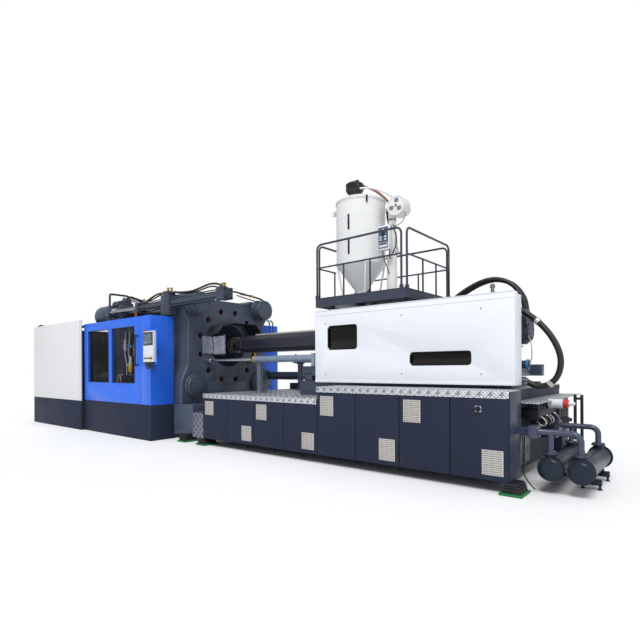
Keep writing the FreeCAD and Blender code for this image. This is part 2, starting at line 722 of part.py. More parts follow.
def carriage_frame():
    """Welded sliding frame: two beams on shoes, tied across, with the rear manifold."""
    y0, y1 = RAIL_Y - RAIL_W / 2, RAIL_Y + RAIL_W / 2
    z0 = RAIL_TOP + RUN_GAP
    beam = box(FRAME_X0, FRAME_X1, y0, y1, z0 + SHOE_H, FRAME_TOP)
    shoes = [box(x, x + SHOE_L, y0, y1, z0, z0 + SHOE_H) for x in (FRAME_X0 + 50.0, 6500.0)]
    side = beam.fuse(shoes)
    ties = [box(x, x + 500.0, -y0, y0, z0 + SHOE_H, FRAME_TOP) for x in (HOUSING_X0, 7000.0)]
    manifold = box(7380.0, FRAME_X1, -480.0, -220.0, z0 - 30.0, z0 + SHOE_H)
    return fused([side, mirrored(side), manifold] + ties)


def barrel():
    """Plasticising barrel with its end cap and nozzle, bored for the screw."""
    body = rod("x", BARREL_X0 + 420.0, HOUSING_X0, (0, AXIS_Z), BARREL_R)
    head = rod("x", BARREL_X0 + 120.0, BARREL_X0 + 420.0, (0, AXIS_Z), BARREL_R + 35.0)
    nozzle = Part.makeCone(35.0, 85.0, 260.0, V(NOZZLE_TIP, 0, AXIS_Z), V(1, 0, 0))
    neck = rod("x", NOZZLE_TIP + 260.0, BARREL_X0 + 120.0, (0, AXIS_Z), 85.0)
    solid = fused([body, head, nozzle, neck])
    cuts = [rod("x", BARREL_X0 + 200.0, HOUSING_X0 + 1, (0, AXIS_Z), BORE_R),
            rod("x", NOZZLE_TIP - 1, BARREL_X0 + 201.0, (0, AXIS_Z), 15.0)]
    return solid.cut(cuts)


def barrel_guard():
    """Chamfered sheet guard round the heated barrel, with a faceted nose."""
    w, h, chamfer = GUARD_BARREL_W, GUARD_BARREL_H, 90.0
    wall = 12.0

    def outline(grow):
        a, b, c = w + grow, h + grow, chamfer
        return [(-a, AXIS_Z - b + c), (-a + c, AXIS_Z - b), (a - c, AXIS_Z - b), (a, AXIS_Z - b + c),
                (a, AXIS_Z + b - c), (a - c, AXIS_Z + b), (-a + c, AXIS_Z + b), (-a, AXIS_Z + b - c)]

    def ring(grow, x):
        return Part.makePolygon([V(x, y, z) for y, z in outline(grow) + outline(grow)[:1]])

    # the feed housing carries the rear end and the nose sits round the barrel
    nose_x = 470.0
    taper = -95.0
    outer = prism_x(outline(0), GUARD_BARREL_X0, HOUSING_X0)
    nose = Part.makeLoft([ring(taper, nose_x), ring(0, GUARD_BARREL_X0)], True, True)
    inner = prism_x(outline(-wall), GUARD_BARREL_X0, HOUSING_X0 + 1)
    nose_inner = Part.makeLoft([ring(taper - wall, nose_x), ring(-wall, GUARD_BARREL_X0)], True, True)
    bore = rod("x", nose_x - 1, HOUSING_X0 + 1, (0, AXIS_Z), BARREL_R + RUN_GAP)
    return fused([outer, nose]).cut([inner, nose_inner, bore])


def screw():
    """Screw: flighted length shown as ring lands, plain shank, splined socket for the drive."""
    axis = V(0, 0, AXIS_Z)
    land_r = BORE_R - RUN_GAP
    root_r = 72.0
    pitch = 200.0
    land = 30.0
    points = [(SCREW_TIP - 100.0, 0), (SCREW_TIP, root_r)]
    x = SCREW_TIP
    while x < HOUSING_X1 - pitch:
        points += [(x + pitch - land, root_r), (x + pitch - land, land_r), (x + pitch, land_r), (x + pitch, root_r)]
        x += pitch
    end = CROSS_X0 + CROSS_T
    points += [(end, SHANK_R), (end, 0)]
    outline = Part.makePolygon([V(px, 0, AXIS_Z + r) for px, r in points] + [V(points[0][0], 0, AXIS_Z)])
    body = Part.Face(outline).revolve(axis, V(1, 0, 0), 360)
    return body.cut(rod("x", end - 800.0, end + 1, (0, AXIS_Z), SPLINE_R + RUN_GAP))


def injection_cylinders():
    """Feed housing with its throat and the two injection cylinders behind it."""
    half = HOUSING_W / 2
    housing = box(HOUSING_X0, HOUSING_X1, -half, half, FRAME_TOP, HOUSING_TOP)
    tubes = [rod("x", HOUSING_X1, INJ_X1, (side * INJ_Y, AXIS_Z), INJ_R) for side in (-1, 1)]
    ports = box(5950.0, 6150.0, -330.0, 330.0, AXIS_Z + 80.0, ARCH_START_Z)
    body = fused([housing, ports] + tubes)
    cuts = [rod("x", HOUSING_X0 - 1, HOUSING_X1 + 1, (0, AXIS_Z), BORE_R + RUN_GAP),
            rod("z", AXIS_Z, HOUSING_TOP + 1, (HOPPER_X, 0), THROAT_R - 30.0)]
    for side in (-1, 1):
        cuts.append(rod("x", HOUSING_X1 + 100.0, INJ_X1 + 1, (side * INJ_Y, AXIS_Z), INJ_ROD_R + RUN_GAP))
    return body.cut(cuts)


def ram_crosshead():
    """Crosshead on the two injection rods; it carries the screw's shank."""
    body = box(CROSS_X0, CROSS_X0 + CROSS_T, -560.0, 560.0, AXIS_Z - 250.0, AXIS_Z + 250.0)
    rods = [rod("x", 5500.0, CROSS_X0, (side * INJ_Y, AXIS_Z), INJ_ROD_R) for side in (-1, 1)]
    bore = rod("x", CROSS_X0 - 1, CROSS_X0 + CROSS_T + 1, (0, AXIS_Z), SHANK_R + RUN_GAP)
    return fused([body] + rods).cut(bore)


def drive_motor():
    """Rear plate, hydraulic motor casting and its drive shaft."""
    plate = box(REAR_X0, REAR_X0 + REAR_T, -560.0, 560.0, FRAME_TOP, AXIS_Z + 330.0)
    drum = rod("x", REAR_X0 + REAR_T, MOTOR_X1 - 60.0, (0, AXIS_Z), MOTOR_R)
    cap = rod("x", MOTOR_X1 - 60.0, MOTOR_X1, (0, AXIS_Z), MOTOR_R - 45.0)
    port = box(7400.0, PORT_X1, -220.0, 130.0, PORT_TOP - 130.0, PORT_TOP)
    shaft = rod("x", CROSS_X0 + CROSS_T - 760.0, REAR_X0, (0, AXIS_Z), SPLINE_R)
    return fused([plate, drum, cap, port, shaft])


def injection_cover(x1, windows):
    """Folded side cover of the injection unit with its window openings."""
    t = INJ_COVER_T
    top_fold = 160.0
    near_fold = 200.0
    far_fold = 330.0 if x1 > FRAME_X1 else near_fold
    y = -INJ_COVER_Y
    front = box(INJ_COVER_X0, x1, y, y + t, INJ_COVER_Z0, INJ_COVER_Z1)
    top = box(INJ_COVER_X0, x1, y + t, y + top_fold, INJ_COVER_Z1 - t, INJ_COVER_Z1)
    ends = [box(INJ_COVER_X0, INJ_COVER_X0 + t, y + t, y + near_fold, INJ_COVER_Z0, INJ_COVER_Z1 - t),
            box(x1 - t, x1, y + t, y + far_fold, INJ_COVER_Z0, INJ_COVER_Z1 - t)]
    brackets = [box(x, x + 60.0, y + t, -RAIL_Y - RAIL_W / 2, FRAME_TOP - 120.0, FRAME_TOP - 60.0)
                for x in (4300.0, 5900.0, x1 - 420.0)]
    body = fused([front, top] + ends + brackets)
    return body.cut([window_cut(*window) for window in windows])


def window_cut(x0, x1, z0, z1, radius):
    block = box(x0, x1, -INJ_COVER_Y - 1, -INJ_COVER_Y + INJ_COVER_T + 1, z0, z1)
    edges = [e for e in block.Edges if abs(e.BoundBox.YLength - INJ_COVER_T - 2) < 0.01]
    return block.makeFillet(radius, edges)


# ---------------------------------------------------------------- platform and dryer
def platform():
    """Service platform: channel frame, deck and four legs down to the carriage frame."""
    channel = 60.0
    ring = box(PLAT_X0, PLAT_X1, PLAT_Y0, PLAT_Y1, PLAT_Z0, PLAT_Z1)
    ring = ring.cut(box(PLAT_X0 + channel, PLAT_X1 - channel, PLAT_Y0 + channel, PLAT_Y1 - channel,
                        PLAT_Z0 - 1, PLAT_Z1 + 1))
    deck = box(PLAT_X0 + channel, PLAT_X1 - channel, PLAT_Y0 + channel, PLAT_Y1 - channel,
               PLAT_DECK_Z - 20.0, PLAT_DECK_Z)
    legs = [box(x, x + 100.0, side * 750.0 - 50.0, side * 750.0 + 50.0, FRAME_TOP, PLAT_DECK_Z - 20.0)
            for x in (4060.0, 5700.0) for side in (-1, 1)]
    body = fused([ring, deck] + legs)
    return body.cut(rod("z", PLAT_Z0, PLAT_Z1, (HOPPER_X, 0), THROAT_R + 60.0))


def rail_frame(start, end, shares=(0.345, 0.66), closed=True):
    """One bent guard-rail frame with a middle rail and short posts; an open one ends at its top rail."""
    (x0, y0), (x1, y1) = start, end
    top = [(x0, y0, PLAT_Z1), (x0, y0, RAIL_TOP_Z), (x1, y1, RAIL_TOP_Z)] + [(x1, y1, PLAT_Z1)] * closed
    frame = hose(top, RAIL_TUBE, bend=RAIL_BEND)
    across = V(x1 - x0, y1 - y0, 0)
    radius = RAIL_TUBE / 2
    middle = Part.makeCylinder(radius * 0.8, across.Length, V(x0, y0, RAIL_MID_Z), across)
    posts = []
    for share in shares:
        foot = V(x0, y0, PLAT_Z1) + across * share
        posts.append(Part.makeCylinder(radius * 0.8, RAIL_MID_Z - PLAT_Z1, foot, V(0, 0, 1)))
    return fused([frame, middle] + posts)


def platform_rails():
    inset = 25.0
    left, right = PLAT_X0 + inset, PLAT_X1 - inset
    front, rear = PLAT_Y0 + inset, PLAT_Y1 - inset
    pitch = 70.0
    hopper_gap = math.sqrt(HOPPER_R ** 2 - (HOPPER_X - left - RAIL_TUBE / 2) ** 2) + 2.0
    return group([rail_frame((left, front), (right - pitch, front)),
                  rail_frame((right, front + pitch), (right, rear - pitch)),
                  rail_frame((left, rear), (right - pitch, rear)),
                  rail_frame((left, front + pitch), (left, -hopper_gap), (0.93,), False),
                  rail_frame((left, rear - pitch), (left, hopper_gap), (0.93,), False)])


def hopper_turned(points):
    outline = Part.makePolygon([V(HOPPER_X + r, 0, z) for r, z in points + points[:1]])
    return Part.Face(outline).revolve(V(HOPPER_X, 0, 0), V(0, 0, 1), 360)


def dryer_hopper():
    """Rolled shell of the hopper dryer."""
    return hopper_turned([(HOPPER_R, HOPPER_Z0), (HOPPER_R, HOPPER_Z1),
                          (HOPPER_R - HOPPER_WALL, HOPPER_Z1), (HOPPER_R - HOPPER_WALL, HOPPER_Z0)])


def hopper_cone():
    """Cone bolted under the shell."""
    return hopper_turned([(THROAT_R, CONE_Z0), (HOPPER_R, HOPPER_Z0), (HOPPER_R - HOPPER_WALL, HOPPER_Z0),
                          (THROAT_R - HOPPER_WALL, CONE_Z0)])


def hopper_throat():
    """Pipe from the cone through the platform to the feed housing."""
    return hopper_turned([(THROAT_R, HOUSING_TOP), (THROAT_R, CONE_Z0), (THROAT_R - HOPPER_WALL, CONE_Z0),
                          (THROAT_R - HOPPER_WALL, HOUSING_TOP)])


def hopper_lid():
    return hopper_turned([(0, HOPPER_Z1), (HOPPER_R + 14.0, HOPPER_Z1), (HOPPER_R + 14.0, HOPPER_Z1 + 35.0),
                          (HOPPER_R - 60.0, LID_TOP - 20.0), (0, LID_TOP)])


def hopper_stand():
    """Four struts welded to the shell."""
    struts = []
    for angle in (45, 135, 225, 315):
        away = V(math.cos(math.radians(angle)), math.sin(math.radians(angle)), 0)
        foot = V(HOPPER_X, 0, PLAT_DECK_Z - 60.0) + away * 330.0
        head = V(HOPPER_X, 0, HOPPER_Z0 + 60.0) + away * (HOPPER_R - 1.0)
        struts.append(Part.makeCylinder(18.0, (head - foot).Length, foot, head - foot))
    inside = rod("z", HOPPER_Z0, HOPPER_Z1, (HOPPER_X, 0), HOPPER_R)
    below = box(HOPPER_X - 1000.0, HOPPER_X + 1000.0, -1000.0, 1000.0, PLAT_DECK_Z - 300.0, PLAT_DECK_Z)
    return group([strut.cut([inside, hopper_cone(), below]) for strut in struts])


def hopper_loader():
    """Vacuum loader on the lid: cone, body ring and a three-lobed motor head."""
    base = rod("z", LID_TOP - 10.0, LID_TOP + 30.0, (LOADER_X, 0), 90.0)
    cone = Part.makeCone(60.0, 180.0, 190.0, V(LOADER_X, 0, LID_TOP + 30.0), V(0, 0, 1))
    drum = rod("z", LID_TOP + 220.0, LID_TOP + 360.0, (LOADER_X, 0), 180.0)
    lobes = [rod("z", LID_TOP + 360.0, LID_TOP + 440.0, (LOADER_X + dx, dy), 80.0)
             for dx, dy in ((-85.0, -30.0), (85.0, -30.0), (0, 90.0))]
    spigot = rod("x", LOADER_X + 150.0, LOADER_X + 240.0, (0, LID_TOP + 270.0), 36.0)
    body = fused([base, cone, drum, spigot] + lobes)
    return body.cut(hopper_lid())


def dryer_blower():
    """Heater tube standing on the platform with the blower on its neck."""
    tube = rod("z", PLAT_DECK_Z, HEATER_TOP, (HEATER_X, 0), HEATER_R)
    neck = rod("z", HEATER_TOP, BLOWER_Z - 60.0, (HEATER_X, 0), NECK_R)
    volute = rod("y", -150.0, 90.0, (BLOWER_X, BLOWER_Z), BLOWER_R)
    motor = rod("y", 90.0, 260.0, (BLOWER_X, BLOWER_Z), 110.0)
    return fused([tube, neck, volute, motor])


def dryer_box():
    """Dryer control box on a bracket from the heater tube."""
    case = box(4930.0, 5190.0, -330.0, -200.0, 3990.0, 4460.0)
    bracket = box(HEATER_X - 20.0, HEATER_X + 20.0, -200.0, 1.0 - NECK_R, 4100.0, 4160.0)
    bracket = bracket.cut(rod("z", 4000.0, 4300.0, (HEATER_X, 0), NECK_R))
    return fused([case, bracket])


def dryer_hoses():
    """Return air hose from the loader down behind the hopper to the heater tube."""
    feed_end = LOADER_X + 240.0
    feed_z = LID_TOP + 270.0
    feed = hose([(feed_end, 0, feed_z), (feed_end + 100.0, 60.0, feed_z - 25.0), (4640.0, 240.0, 5340.0),
                 (4760.0, 420.0, 5170.0), (4810.0, 530.0, 4920.0), (4820.0, 540.0, 4600.0),
                 (4880.0, 480.0, 4250.0), (5010.0, 330.0, 4070.0), (HEATER_X, 220.0, 4050.0),
                 (HEATER_X, 0, 4050.0)], 55.0, "return air hose")
    return feed.cut([hopper_loader(), dryer_blower()])


# ---------------------------------------------------------------- hydraulics outside
def purge_guard():
    """Folded hood over the nozzle with a bright shield on the operator side."""
    thick = 6.0
    outer = [(-720.0, 2600.0), (-570.0, 2810.0), (-200.0, 2895.0), (550.0, 2895.0), (720.0, 2730.0), (720.0, 2450.0)]
    inner = [(-708.0, 2600.0), (-565.0, 2803.0), (-199.0, 2887.0), (547.0, 2887.0), (712.0, 2726.0), (712.0, 2450.0)]
    hood = prism_x(outer + list(reversed(inner)), 0, 480.0)
    shield_top = 2600.0
    shield = box(0, 480.0, -500.0, -500.0 + thick, 2040.0, shield_top)
    lip = box(0, 480.0, -500.0 + thick, -330.0, shield_top - thick, shield_top)
    return group([hood, shield.fuse(lip).removeSplitter()])


def oil_coolers():
    """Two shell oil coolers on feet, with end caps."""
    coolers = []
    for x in COOLERS_X:
        shell = rod("y", COOLER_Y0 + 60.0, COOLER_Y1 - 60.0, (x, COOLER_Z), COOLER_R - 14.0)
        rims = [rod("y", y, y + 60.0, (x, COOLER_Z), COOLER_R) for y in (COOLER_Y0, COOLER_Y1 - 60.0)]
        feet = []
        for y in (COOLER_FEET_Y if x == COOLERS_X[1] else COOLER_FEET_Y[1:]):
            feet += [box(x - 60.0, x + 60.0, y, y + 50.0, FOOT_Z1, COOLER_Z - 40.0),
                     box(x - 130.0, x + 130.0, y, y + 80.0, FOOT_Z0, FOOT_Z1)]
            feet += [rod("z", 0, FOOT_Z0, (x + dx, y + 40.0), 16.0) for dx in (-105.0, 105.0)]
        ports = [rod("z", COOLER_Z, COOLER_Z + 190.0, (x, y), PIPE_R + 26.0) for y, z in PIPES]
        coolers.append(fused([shell, ports[0], ports[1]] + rims + feet))
    return group(coolers)


def cooler_pipework():
    """Steel pipes from the manifold blocks down to the cooler ports."""
    bend = 105.0
    parts = []
    port_z = COOLER_Z + 190.0
    start_x = 8110.0
    for y, z in PIPES:
        main = hose([(start_x, y, z), (COOLERS_X[1], y, z), (COOLERS_X[1], y, port_z)], 2 * PIPE_R, bend=bend)
        branch = rod("z", port_z, z, (COOLERS_X[0], y), PIPE_R - 4.0)
        flange = [rod("z", port_z, port_z + 25.0, (x, y), PIPE_R + 45.0) for x in COOLERS_X]
        block = box(start_x - 120.0, start_x, y - 90.0, y + 120.0, z - 90.0, z + 80.0)
        stub = box(BASE_X1 - END_RECESS if y > -1200.0 else BASE_X1, start_x - 120.0,
                   y - 50.0, y + 50.0, z - 50.0, z + 50.0)
        parts.append(fused([main, branch, block, stub] + flange))
    bank = box(BASE_X1 - END_RECESS, 8000.0, 80.0, 900.0, 560.0, 1120.0)
    parts.append(bank)
    return group(parts)


def clamp_pipework():
    """High-pressure hoses over the upper traverse cylinder, held at both ends."""
    y = -TRAV_Y
    top = 3540.0
    block = box(-520.0, -300.0, y - 90.0, y + 90.0, top, top + 90.0)
    z = top + 60.0
    left = hose([(-520.0, y, z), (-760.0, y, z + 40.0), (-1040.0, y + 20.0, z + 20.0), (-1330.0, y + 30.0, z - 50.0),
                 (-1600.0, y + 30.0, z - 115.0)], 46.0, "left clamp hose")
    right = hose([(-300.0, y, z), (-60.0, y, z - 20.0), (240.0, y + 10.0, z - 50.0), (560.0, y + 10.0, z - 60.0),
                  (880.0, y, z - 20.0), (1180.0, y, z + 30.0), (1440.0, y, z + 20.0), (1620.0, y, z - 60.0)],
                 46.0, "right clamp hose")
    end_top = TRAV_Z + TRAV_HEAD / 2
    foot_r = box(1600.0, 1720.0, y - 50.0, y + 50.0, end_top, z - 30.0)
    foot_l = box(-1720.0, -1600.0, y - 20.0, y + 80.0, TRAV_Z + TRAV_HEAD / 2, z - 85.0)
    return group([block, left.cut(block), right.cut(block), foot_r.cut(right), foot_l.cut(left)])


def platen_pipework():
    """Bent pipe and valve bank on top of the moving platen."""
    x = MOVING_X - 400.0
    corner_top = MOVING_HALF[5][1]
    middle_top = MOVING_HALF[7][1]
    loop_top = 3940.0
    side_y = -MOVING_HALF[5][0]
    pipe = hose([(x, side_y, 3180.0), (x, side_y - 90.0, 3180.0), (x, side_y - 90.0, loop_top), (x, -840.0, loop_top),
                 (x, -840.0, corner_top)], 60.0, "platen pipe", bend=55.0)
    bank = box(x + 60.0, x + 330.0, -1150.0, -860.0, corner_top, corner_top + 190.0)
    pot = rod("x", x + 60.0, x + 360.0, (-380.0, middle_top + 150.0), 110.0)
    pot = pot.fuse(box(x + 140.0, x + 280.0, -440.0, -320.0, middle_top, middle_top + 100.0))
    return group([pipe, bank, pot])


def drive_hoses():
    """Pressure hoses of the screw drive: two arches and the big return loop."""
    parts = []
    arch_end = PORT_X1 - 65.0
    for y in (-60.0, 60.0):
        parts.append(hose([(6050.0, y, ARCH_START_Z), (6150.0, y, 2700.0), (6320.0, y, 2900.0), (6560.0, y, 3060.0),
                           (6860.0, y, 3190.0), (7120.0, y, 3215.0), (7370.0, y, 3110.0),
                           (7530.0, y, 2900.0), (arch_end, y, 2700.0), (arch_end, y, PORT_TOP)], 76.0, "arch hose"))
    parts.append(hose([(REAR_X0 + REAR_T, -350.0, 2590.0), (7430.0, -350.0, 2650.0), (7560.0, -350.0, 2640.0),
                       (7720.0, -350.0, 2530.0), (7900.0, -350.0, 2370.0), (8080.0, -350.0, 2130.0),
                       (8190.0, -350.0, 1840.0), (8150.0, -350.0, 1570.0), (8010.0, -350.0, 1420.0),
                       (7820.0, -350.0, 1400.0), (7730.0, -350.0, 1460.0), (FRAME_X1, -350.0, 1480.0)],
                      90.0, "return hose"))
    return group(parts).cut([injection_cylinders(), drive_motor(), carriage_frame()])


def nodes():
    yield "clamp_bed", clamp_bed()
    yield "levelling_pads", levelling_pads()
    yield "fixed_platen", fixed_platen()
    yield "tie_bars", tie_bars()
    yield "clamp_cylinders", clamp_cylinders()
    yield "traverse_cylinders", traverse_cylinders()
    yield "traverse_rods", traverse_rods()
    yield "moving_platen", moving_platen()
    yield "ejector_crosshead", ejector_crosshead()
    yield "plinth_panels", plinth_panels()
    yield "front_clamp_cover", clamp_cover()
    yield "rear_clamp_cover", mirrored(clamp_cover())
    yield "front_guard_frame", guard_frame(True)
    yield "rear_guard_frame", mirrored(guard_frame(False))
    yield "front_gate", gate()
    yield "rear_gate", mirrored(gate(windows=False))
    yield "front_gate_windows", gate_panes()
    yield "front_gate_handle", gate_handle()
    yield "control_panel", control_panel()
    for name, x in button_places():
        stop = name.startswith("emergency")
        yield name, push_button(x, 26.0 if stop else BUTTON_R, 22.0 if stop else 8.0, 6.0 if stop else 4.0)
    yield "injection_base", injection_base()
    yield "deck_plates", deck_plates()
    for index in range(DOORS):
        yield "cabinet_door_%d" % (index + 1), cabinet_door(index)
    yield "isolator_handle", isolator_handle()
    yield "step_box", step_box()
    yield "pump_motors", pump_motors()
    yield "carriage_rails", carriage_rails()
    yield "support_posts", support_posts()
    yield "pull_rods", pull_rods()
    yield "pull_cylinders", pull_cylinders()
    yield "carriage_frame", carriage_frame()
    yield "barrel", barrel()
    yield "barrel_guard", barrel_guard()
    yield "screw", screw()
    yield "injection_cylinders", injection_cylinders()
    yield "ram_crosshead", ram_crosshead()
    yield "drive_motor", drive_motor()
    yield "front_injection_cover", injection_cover(INJ_COVER_X1, INJ_WINDOWS)
    yield "rear_injection_cover", mirrored(injection_cover(FAR_COVER_X1, INJ_WINDOWS[:1]))
    yield "platform", platform()
    yield "platform_rails", platform_rails()
    yield "dryer_hopper", dryer_hopper()
    yield "hopper_cone", hopper_cone()
    yield "hopper_throat", hopper_throat()
    yield "hopper_lid", hopper_lid()
    yield "hopper_stand", hopper_stand()
    yield "hopper_loader", hopper_loader()
    yield "dryer_blower", dryer_blower()
    yield "dryer_box", dryer_box()
    yield "dryer_hoses", dryer_hoses()
    yield "purge_guard", purge_guard()
    yield "oil_coolers", oil_coolers()
    yield "cooler_pipework", cooler_pipework()
    yield "clamp_pipework", clamp_pipework()
    yield "platen_pipework", platen_pipework()
    yield "drive_hoses", drive_hoses()


os.makedirs("parts", exist_ok=True)
shapes = dict(nodes())
limits = FreeCAD.BoundBox()
for shape in shapes.values():
    limits.add(shape.BoundBox)
shift = V(-limits.Center.x, -limits.Center.y, -limits.ZMin)
print("shift", tuple(shift), "size", limits.XLength, limits.YLength, limits.ZLength)
for name, shape in shapes.items():
    moved = shape.copy()
    moved.translate(shift)
    if not moved.isValid():
        print("not valid:", name)
    moved.exportStep("parts/%s.step" % name)
print(len(shapes), "nodes")
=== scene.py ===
import json
import math

import bmesh
import bpy
from mathutils import Matrix, Vector


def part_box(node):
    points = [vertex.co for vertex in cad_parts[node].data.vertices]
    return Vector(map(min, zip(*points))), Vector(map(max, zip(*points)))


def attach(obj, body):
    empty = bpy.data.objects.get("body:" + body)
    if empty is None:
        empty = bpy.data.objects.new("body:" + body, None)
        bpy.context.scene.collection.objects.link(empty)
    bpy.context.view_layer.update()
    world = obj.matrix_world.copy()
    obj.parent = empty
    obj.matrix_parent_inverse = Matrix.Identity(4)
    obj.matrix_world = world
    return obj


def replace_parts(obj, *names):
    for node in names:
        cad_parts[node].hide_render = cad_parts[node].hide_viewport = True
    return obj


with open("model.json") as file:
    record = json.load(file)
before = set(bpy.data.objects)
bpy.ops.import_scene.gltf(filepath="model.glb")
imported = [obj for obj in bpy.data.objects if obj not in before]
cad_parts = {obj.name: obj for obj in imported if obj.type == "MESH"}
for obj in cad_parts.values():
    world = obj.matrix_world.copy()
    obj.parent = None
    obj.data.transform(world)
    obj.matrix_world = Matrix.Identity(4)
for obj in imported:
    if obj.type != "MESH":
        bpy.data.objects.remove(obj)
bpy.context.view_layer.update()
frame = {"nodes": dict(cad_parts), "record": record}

# ---------------------------------------------------------------- camera and studio
# A pale studio floor under soft light from above and from the operator's side.
# Lengths are in mm: x from the fixed platen's injection face, y from the machine's centre-line,
# z from the floor. place() turns them into the frame's metres.
platen_low, platen_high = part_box("fixed_platen")
FACE_X = platen_high.x
CENTRE_Y = (platen_low.y + platen_high.y) / 2


def place(x, y, z):
    return Vector((FACE_X + x / 1000, CENTRE_Y + y / 1000, z / 1000))


camera = bpy.data.objects.new("camera", bpy.data.cameras.new("camera"))
bpy.context.scene.collection.objects.link(camera)
camera.location = place(9850, -8050, 1700)
camera.rotation_euler = (math.radians(90), math.radians(0.35), math.radians(39.65))
camera.data.sensor_width = 36.0
camera.data.lens = 26.16
camera.data.shift_y = 0.0758
camera.data.clip_end = 500.0
bpy.context.scene.camera = camera
bpy.context.scene.view_settings.view_transform = "Standard"


def linear(colour):
    """sRGB hex to the linear values a shader socket takes."""
    levels = [int(colour[i:i + 2], 16) / 255 for i in (1, 3, 5)]
    return tuple(v / 12.92 if v <= 0.04045 else ((v + 0.055) / 1.055) ** 2.4 for v in levels) + (1.0,)


def new_material(name):
    """A material with its node tree and its shader."""
    material = bpy.data.materials.new(name)
    material.use_nodes = True
    return material, material.node_tree, material.node_tree.nodes["Principled BSDF"]


def add_node(tree, kind, settings, links):
    """Adds one shader node: settings go to its sockets or properties, links to its inputs."""
    node = tree.nodes.new("ShaderNode" + kind)
    for name, value in settings.items():
        if isinstance(name, int) or name in node.inputs:
            node.inputs[name].default_value = value
        else:
            setattr(node, name, value)
    for name, output in links.items():
        tree.links.new(output, node.inputs[name])
    return node


def sun(name, turn, tilt, strength, softness):
    """Distant soft lamp shining down from a compass turn and a tilt, in degrees."""
    lamp = bpy.data.objects.new(name, bpy.data.lights.new(name, "SUN"))
    lamp.rotation_euler = (math.radians(tilt), 0, math.radians(turn))
    lamp.data.energy = strength
    lamp.data.angle = math.radians(softness)
    bpy.context.scene.collection.objects.link(lamp)


sun("key_lamp", 20, 38, 2.3, 25)
sun("side_lamp", 80, 62, 0.4, 40)

world = bpy.data.worlds.new("studio")
world.use_nodes = True
world_tree = world.node_tree
world_tree.nodes["Background"].inputs["Color"].default_value = (1.0, 1.0, 1.0, 1.0)
seen = add_node(world_tree, "MapRange", {"To Min": 0.5, "To Max": 1.0}, {
    "Value": add_node(world_tree, "LightPath", {}, {}).outputs["Is Camera Ray"]})
world_tree.links.new(seen.outputs["Result"], world_tree.nodes["Background"].inputs["Strength"])
bpy.context.scene.world = world

floor_bm = bmesh.new()
bmesh.ops.create_grid(floor_bm, x_segments=1, y_segments=1, size=150)
bmesh.ops.translate(floor_bm, vec=(0, 0, -0.001), verts=floor_bm.verts)
floor_mesh = bpy.data.meshes.new("floor")
floor_bm.to_mesh(floor_mesh)
floor_bm.free()
floor = bpy.data.objects.new("floor", floor_mesh)
bpy.context.scene.collection.objects.link(floor)
floor_paint, _, floor_shader = new_material("studio_floor")
floor_shader.inputs["Base Color"].default_value = linear("#F6F7F9")
floor_shader.inputs["Roughness"].default_value = 0.8
floor_mesh.materials.append(floor_paint)


# ---------------------------------------------------------------- clamp bed
# Two deep box beams tied by cross members carry the whole clamp. Welded steel plate, painted,
# with ground steel ways screwed along the top, standing on wedge mounts.
def surface(name, colour, shade, patch, roughness, grain, depth, metallic=0.0,
            stretch=(1, 1, 1), gloss=0.5):
    """Material with soft patches of colour and a fine relief.

    colour and shade are the two ends of the patches, patch and grain the sizes in mm of the
    patches and of the relief, depth the height of the relief in mm, stretch draws the patches out
    along an axis, and gloss is the strength of the shine.
    """
    material, tree, shader = new_material(name)
    shader.inputs["Metallic"].default_value = metallic
    shader.inputs["Specular IOR Level"].default_value = gloss
    where = add_node(tree, "TexCoord", {}, {})
    turned_to = add_node(tree, "Mapping", {"Scale": stretch}, {"Vector": where.outputs["Object"]})
    patches = add_node(tree, "TexNoise", {"Scale": 1000 / patch, "Detail": 4.0, "Roughness": 0.6},
                       {"Vector": turned_to.outputs["Vector"]})
    relief = add_node(tree, "TexNoise", {"Scale": 1000 / grain, "Detail": 2.0},
                      {"Vector": turned_to.outputs["Vector"]})
    mix = add_node(tree, "Mix", {"data_type": "RGBA", 6: linear(colour), 7: linear(shade)},
                   {0: patches.outputs["Fac"]})
    spread = add_node(tree, "MapRange", {"From Min": 0.3, "From Max": 0.7, "To Min": roughness - 0.06,
                                         "To Max": roughness + 0.06}, {"Value": patches.outputs["Fac"]})
    bump = add_node(tree, "Bump", {"Strength": 1.0, "Distance": depth / 1000},
                    {"Height": relief.outputs["Fac"]})
    tree.links.new(mix.outputs[2], shader.inputs["Base Color"])
    tree.links.new(spread.outputs["Result"], shader.inputs["Roughness"])
    tree.links.new(bump.outputs["Normal"], shader.inputs["Normal"])
    return material


def finished(bm, name, body, material, smooth=38):
    """Turns a bmesh into a piece that rides on a body."""
    mesh = bpy.data.meshes.new(name)
    bm.to_mesh(mesh)
    bm.free()
    mesh.materials.append(material)
    mesh.shade_smooth()
    mesh.set_sharp_from_angle(angle=math.radians(smooth))
    piece = bpy.data.objects.new(name, mesh)
    bpy.context.scene.collection.objects.link(piece)
    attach(piece, body)
    return piece


BODY_OF = {node: body for body,
           nodes in frame["record"]["behaviour"]["bodies"].items() for node in nodes}


def softened(node, name, material, edge=0.0, smooth=38):
    """The node's own shape, merged, with its sharp edges rounded by edge mm."""
    bm = bmesh.new()
    bm.from_mesh(frame["nodes"][node].data)
    bmesh.ops.remove_doubles(bm, verts=bm.verts, dist=0.00002)
    bmesh.ops.dissolve_limit(bm, angle_limit=math.radians(0.5), verts=bm.verts, edges=bm.edges,
                             use_dissolve_boundaries=False)
    if edge:
        sharp = [e for e in bm.edges
                 if len(e.link_faces) == 2 and e.calc_face_angle(0) > math.radians(50)]
        bmesh.ops.bevel(bm, geom=sharp, offset=edge / 1000, offset_type="OFFSET", segments=2,
                        profile=0.5, affect="EDGES", clamp_overlap=True, material=-1)
    piece = finished(bm, name, BODY_OF[node], material, smooth)
    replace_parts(piece, node)
    return piece


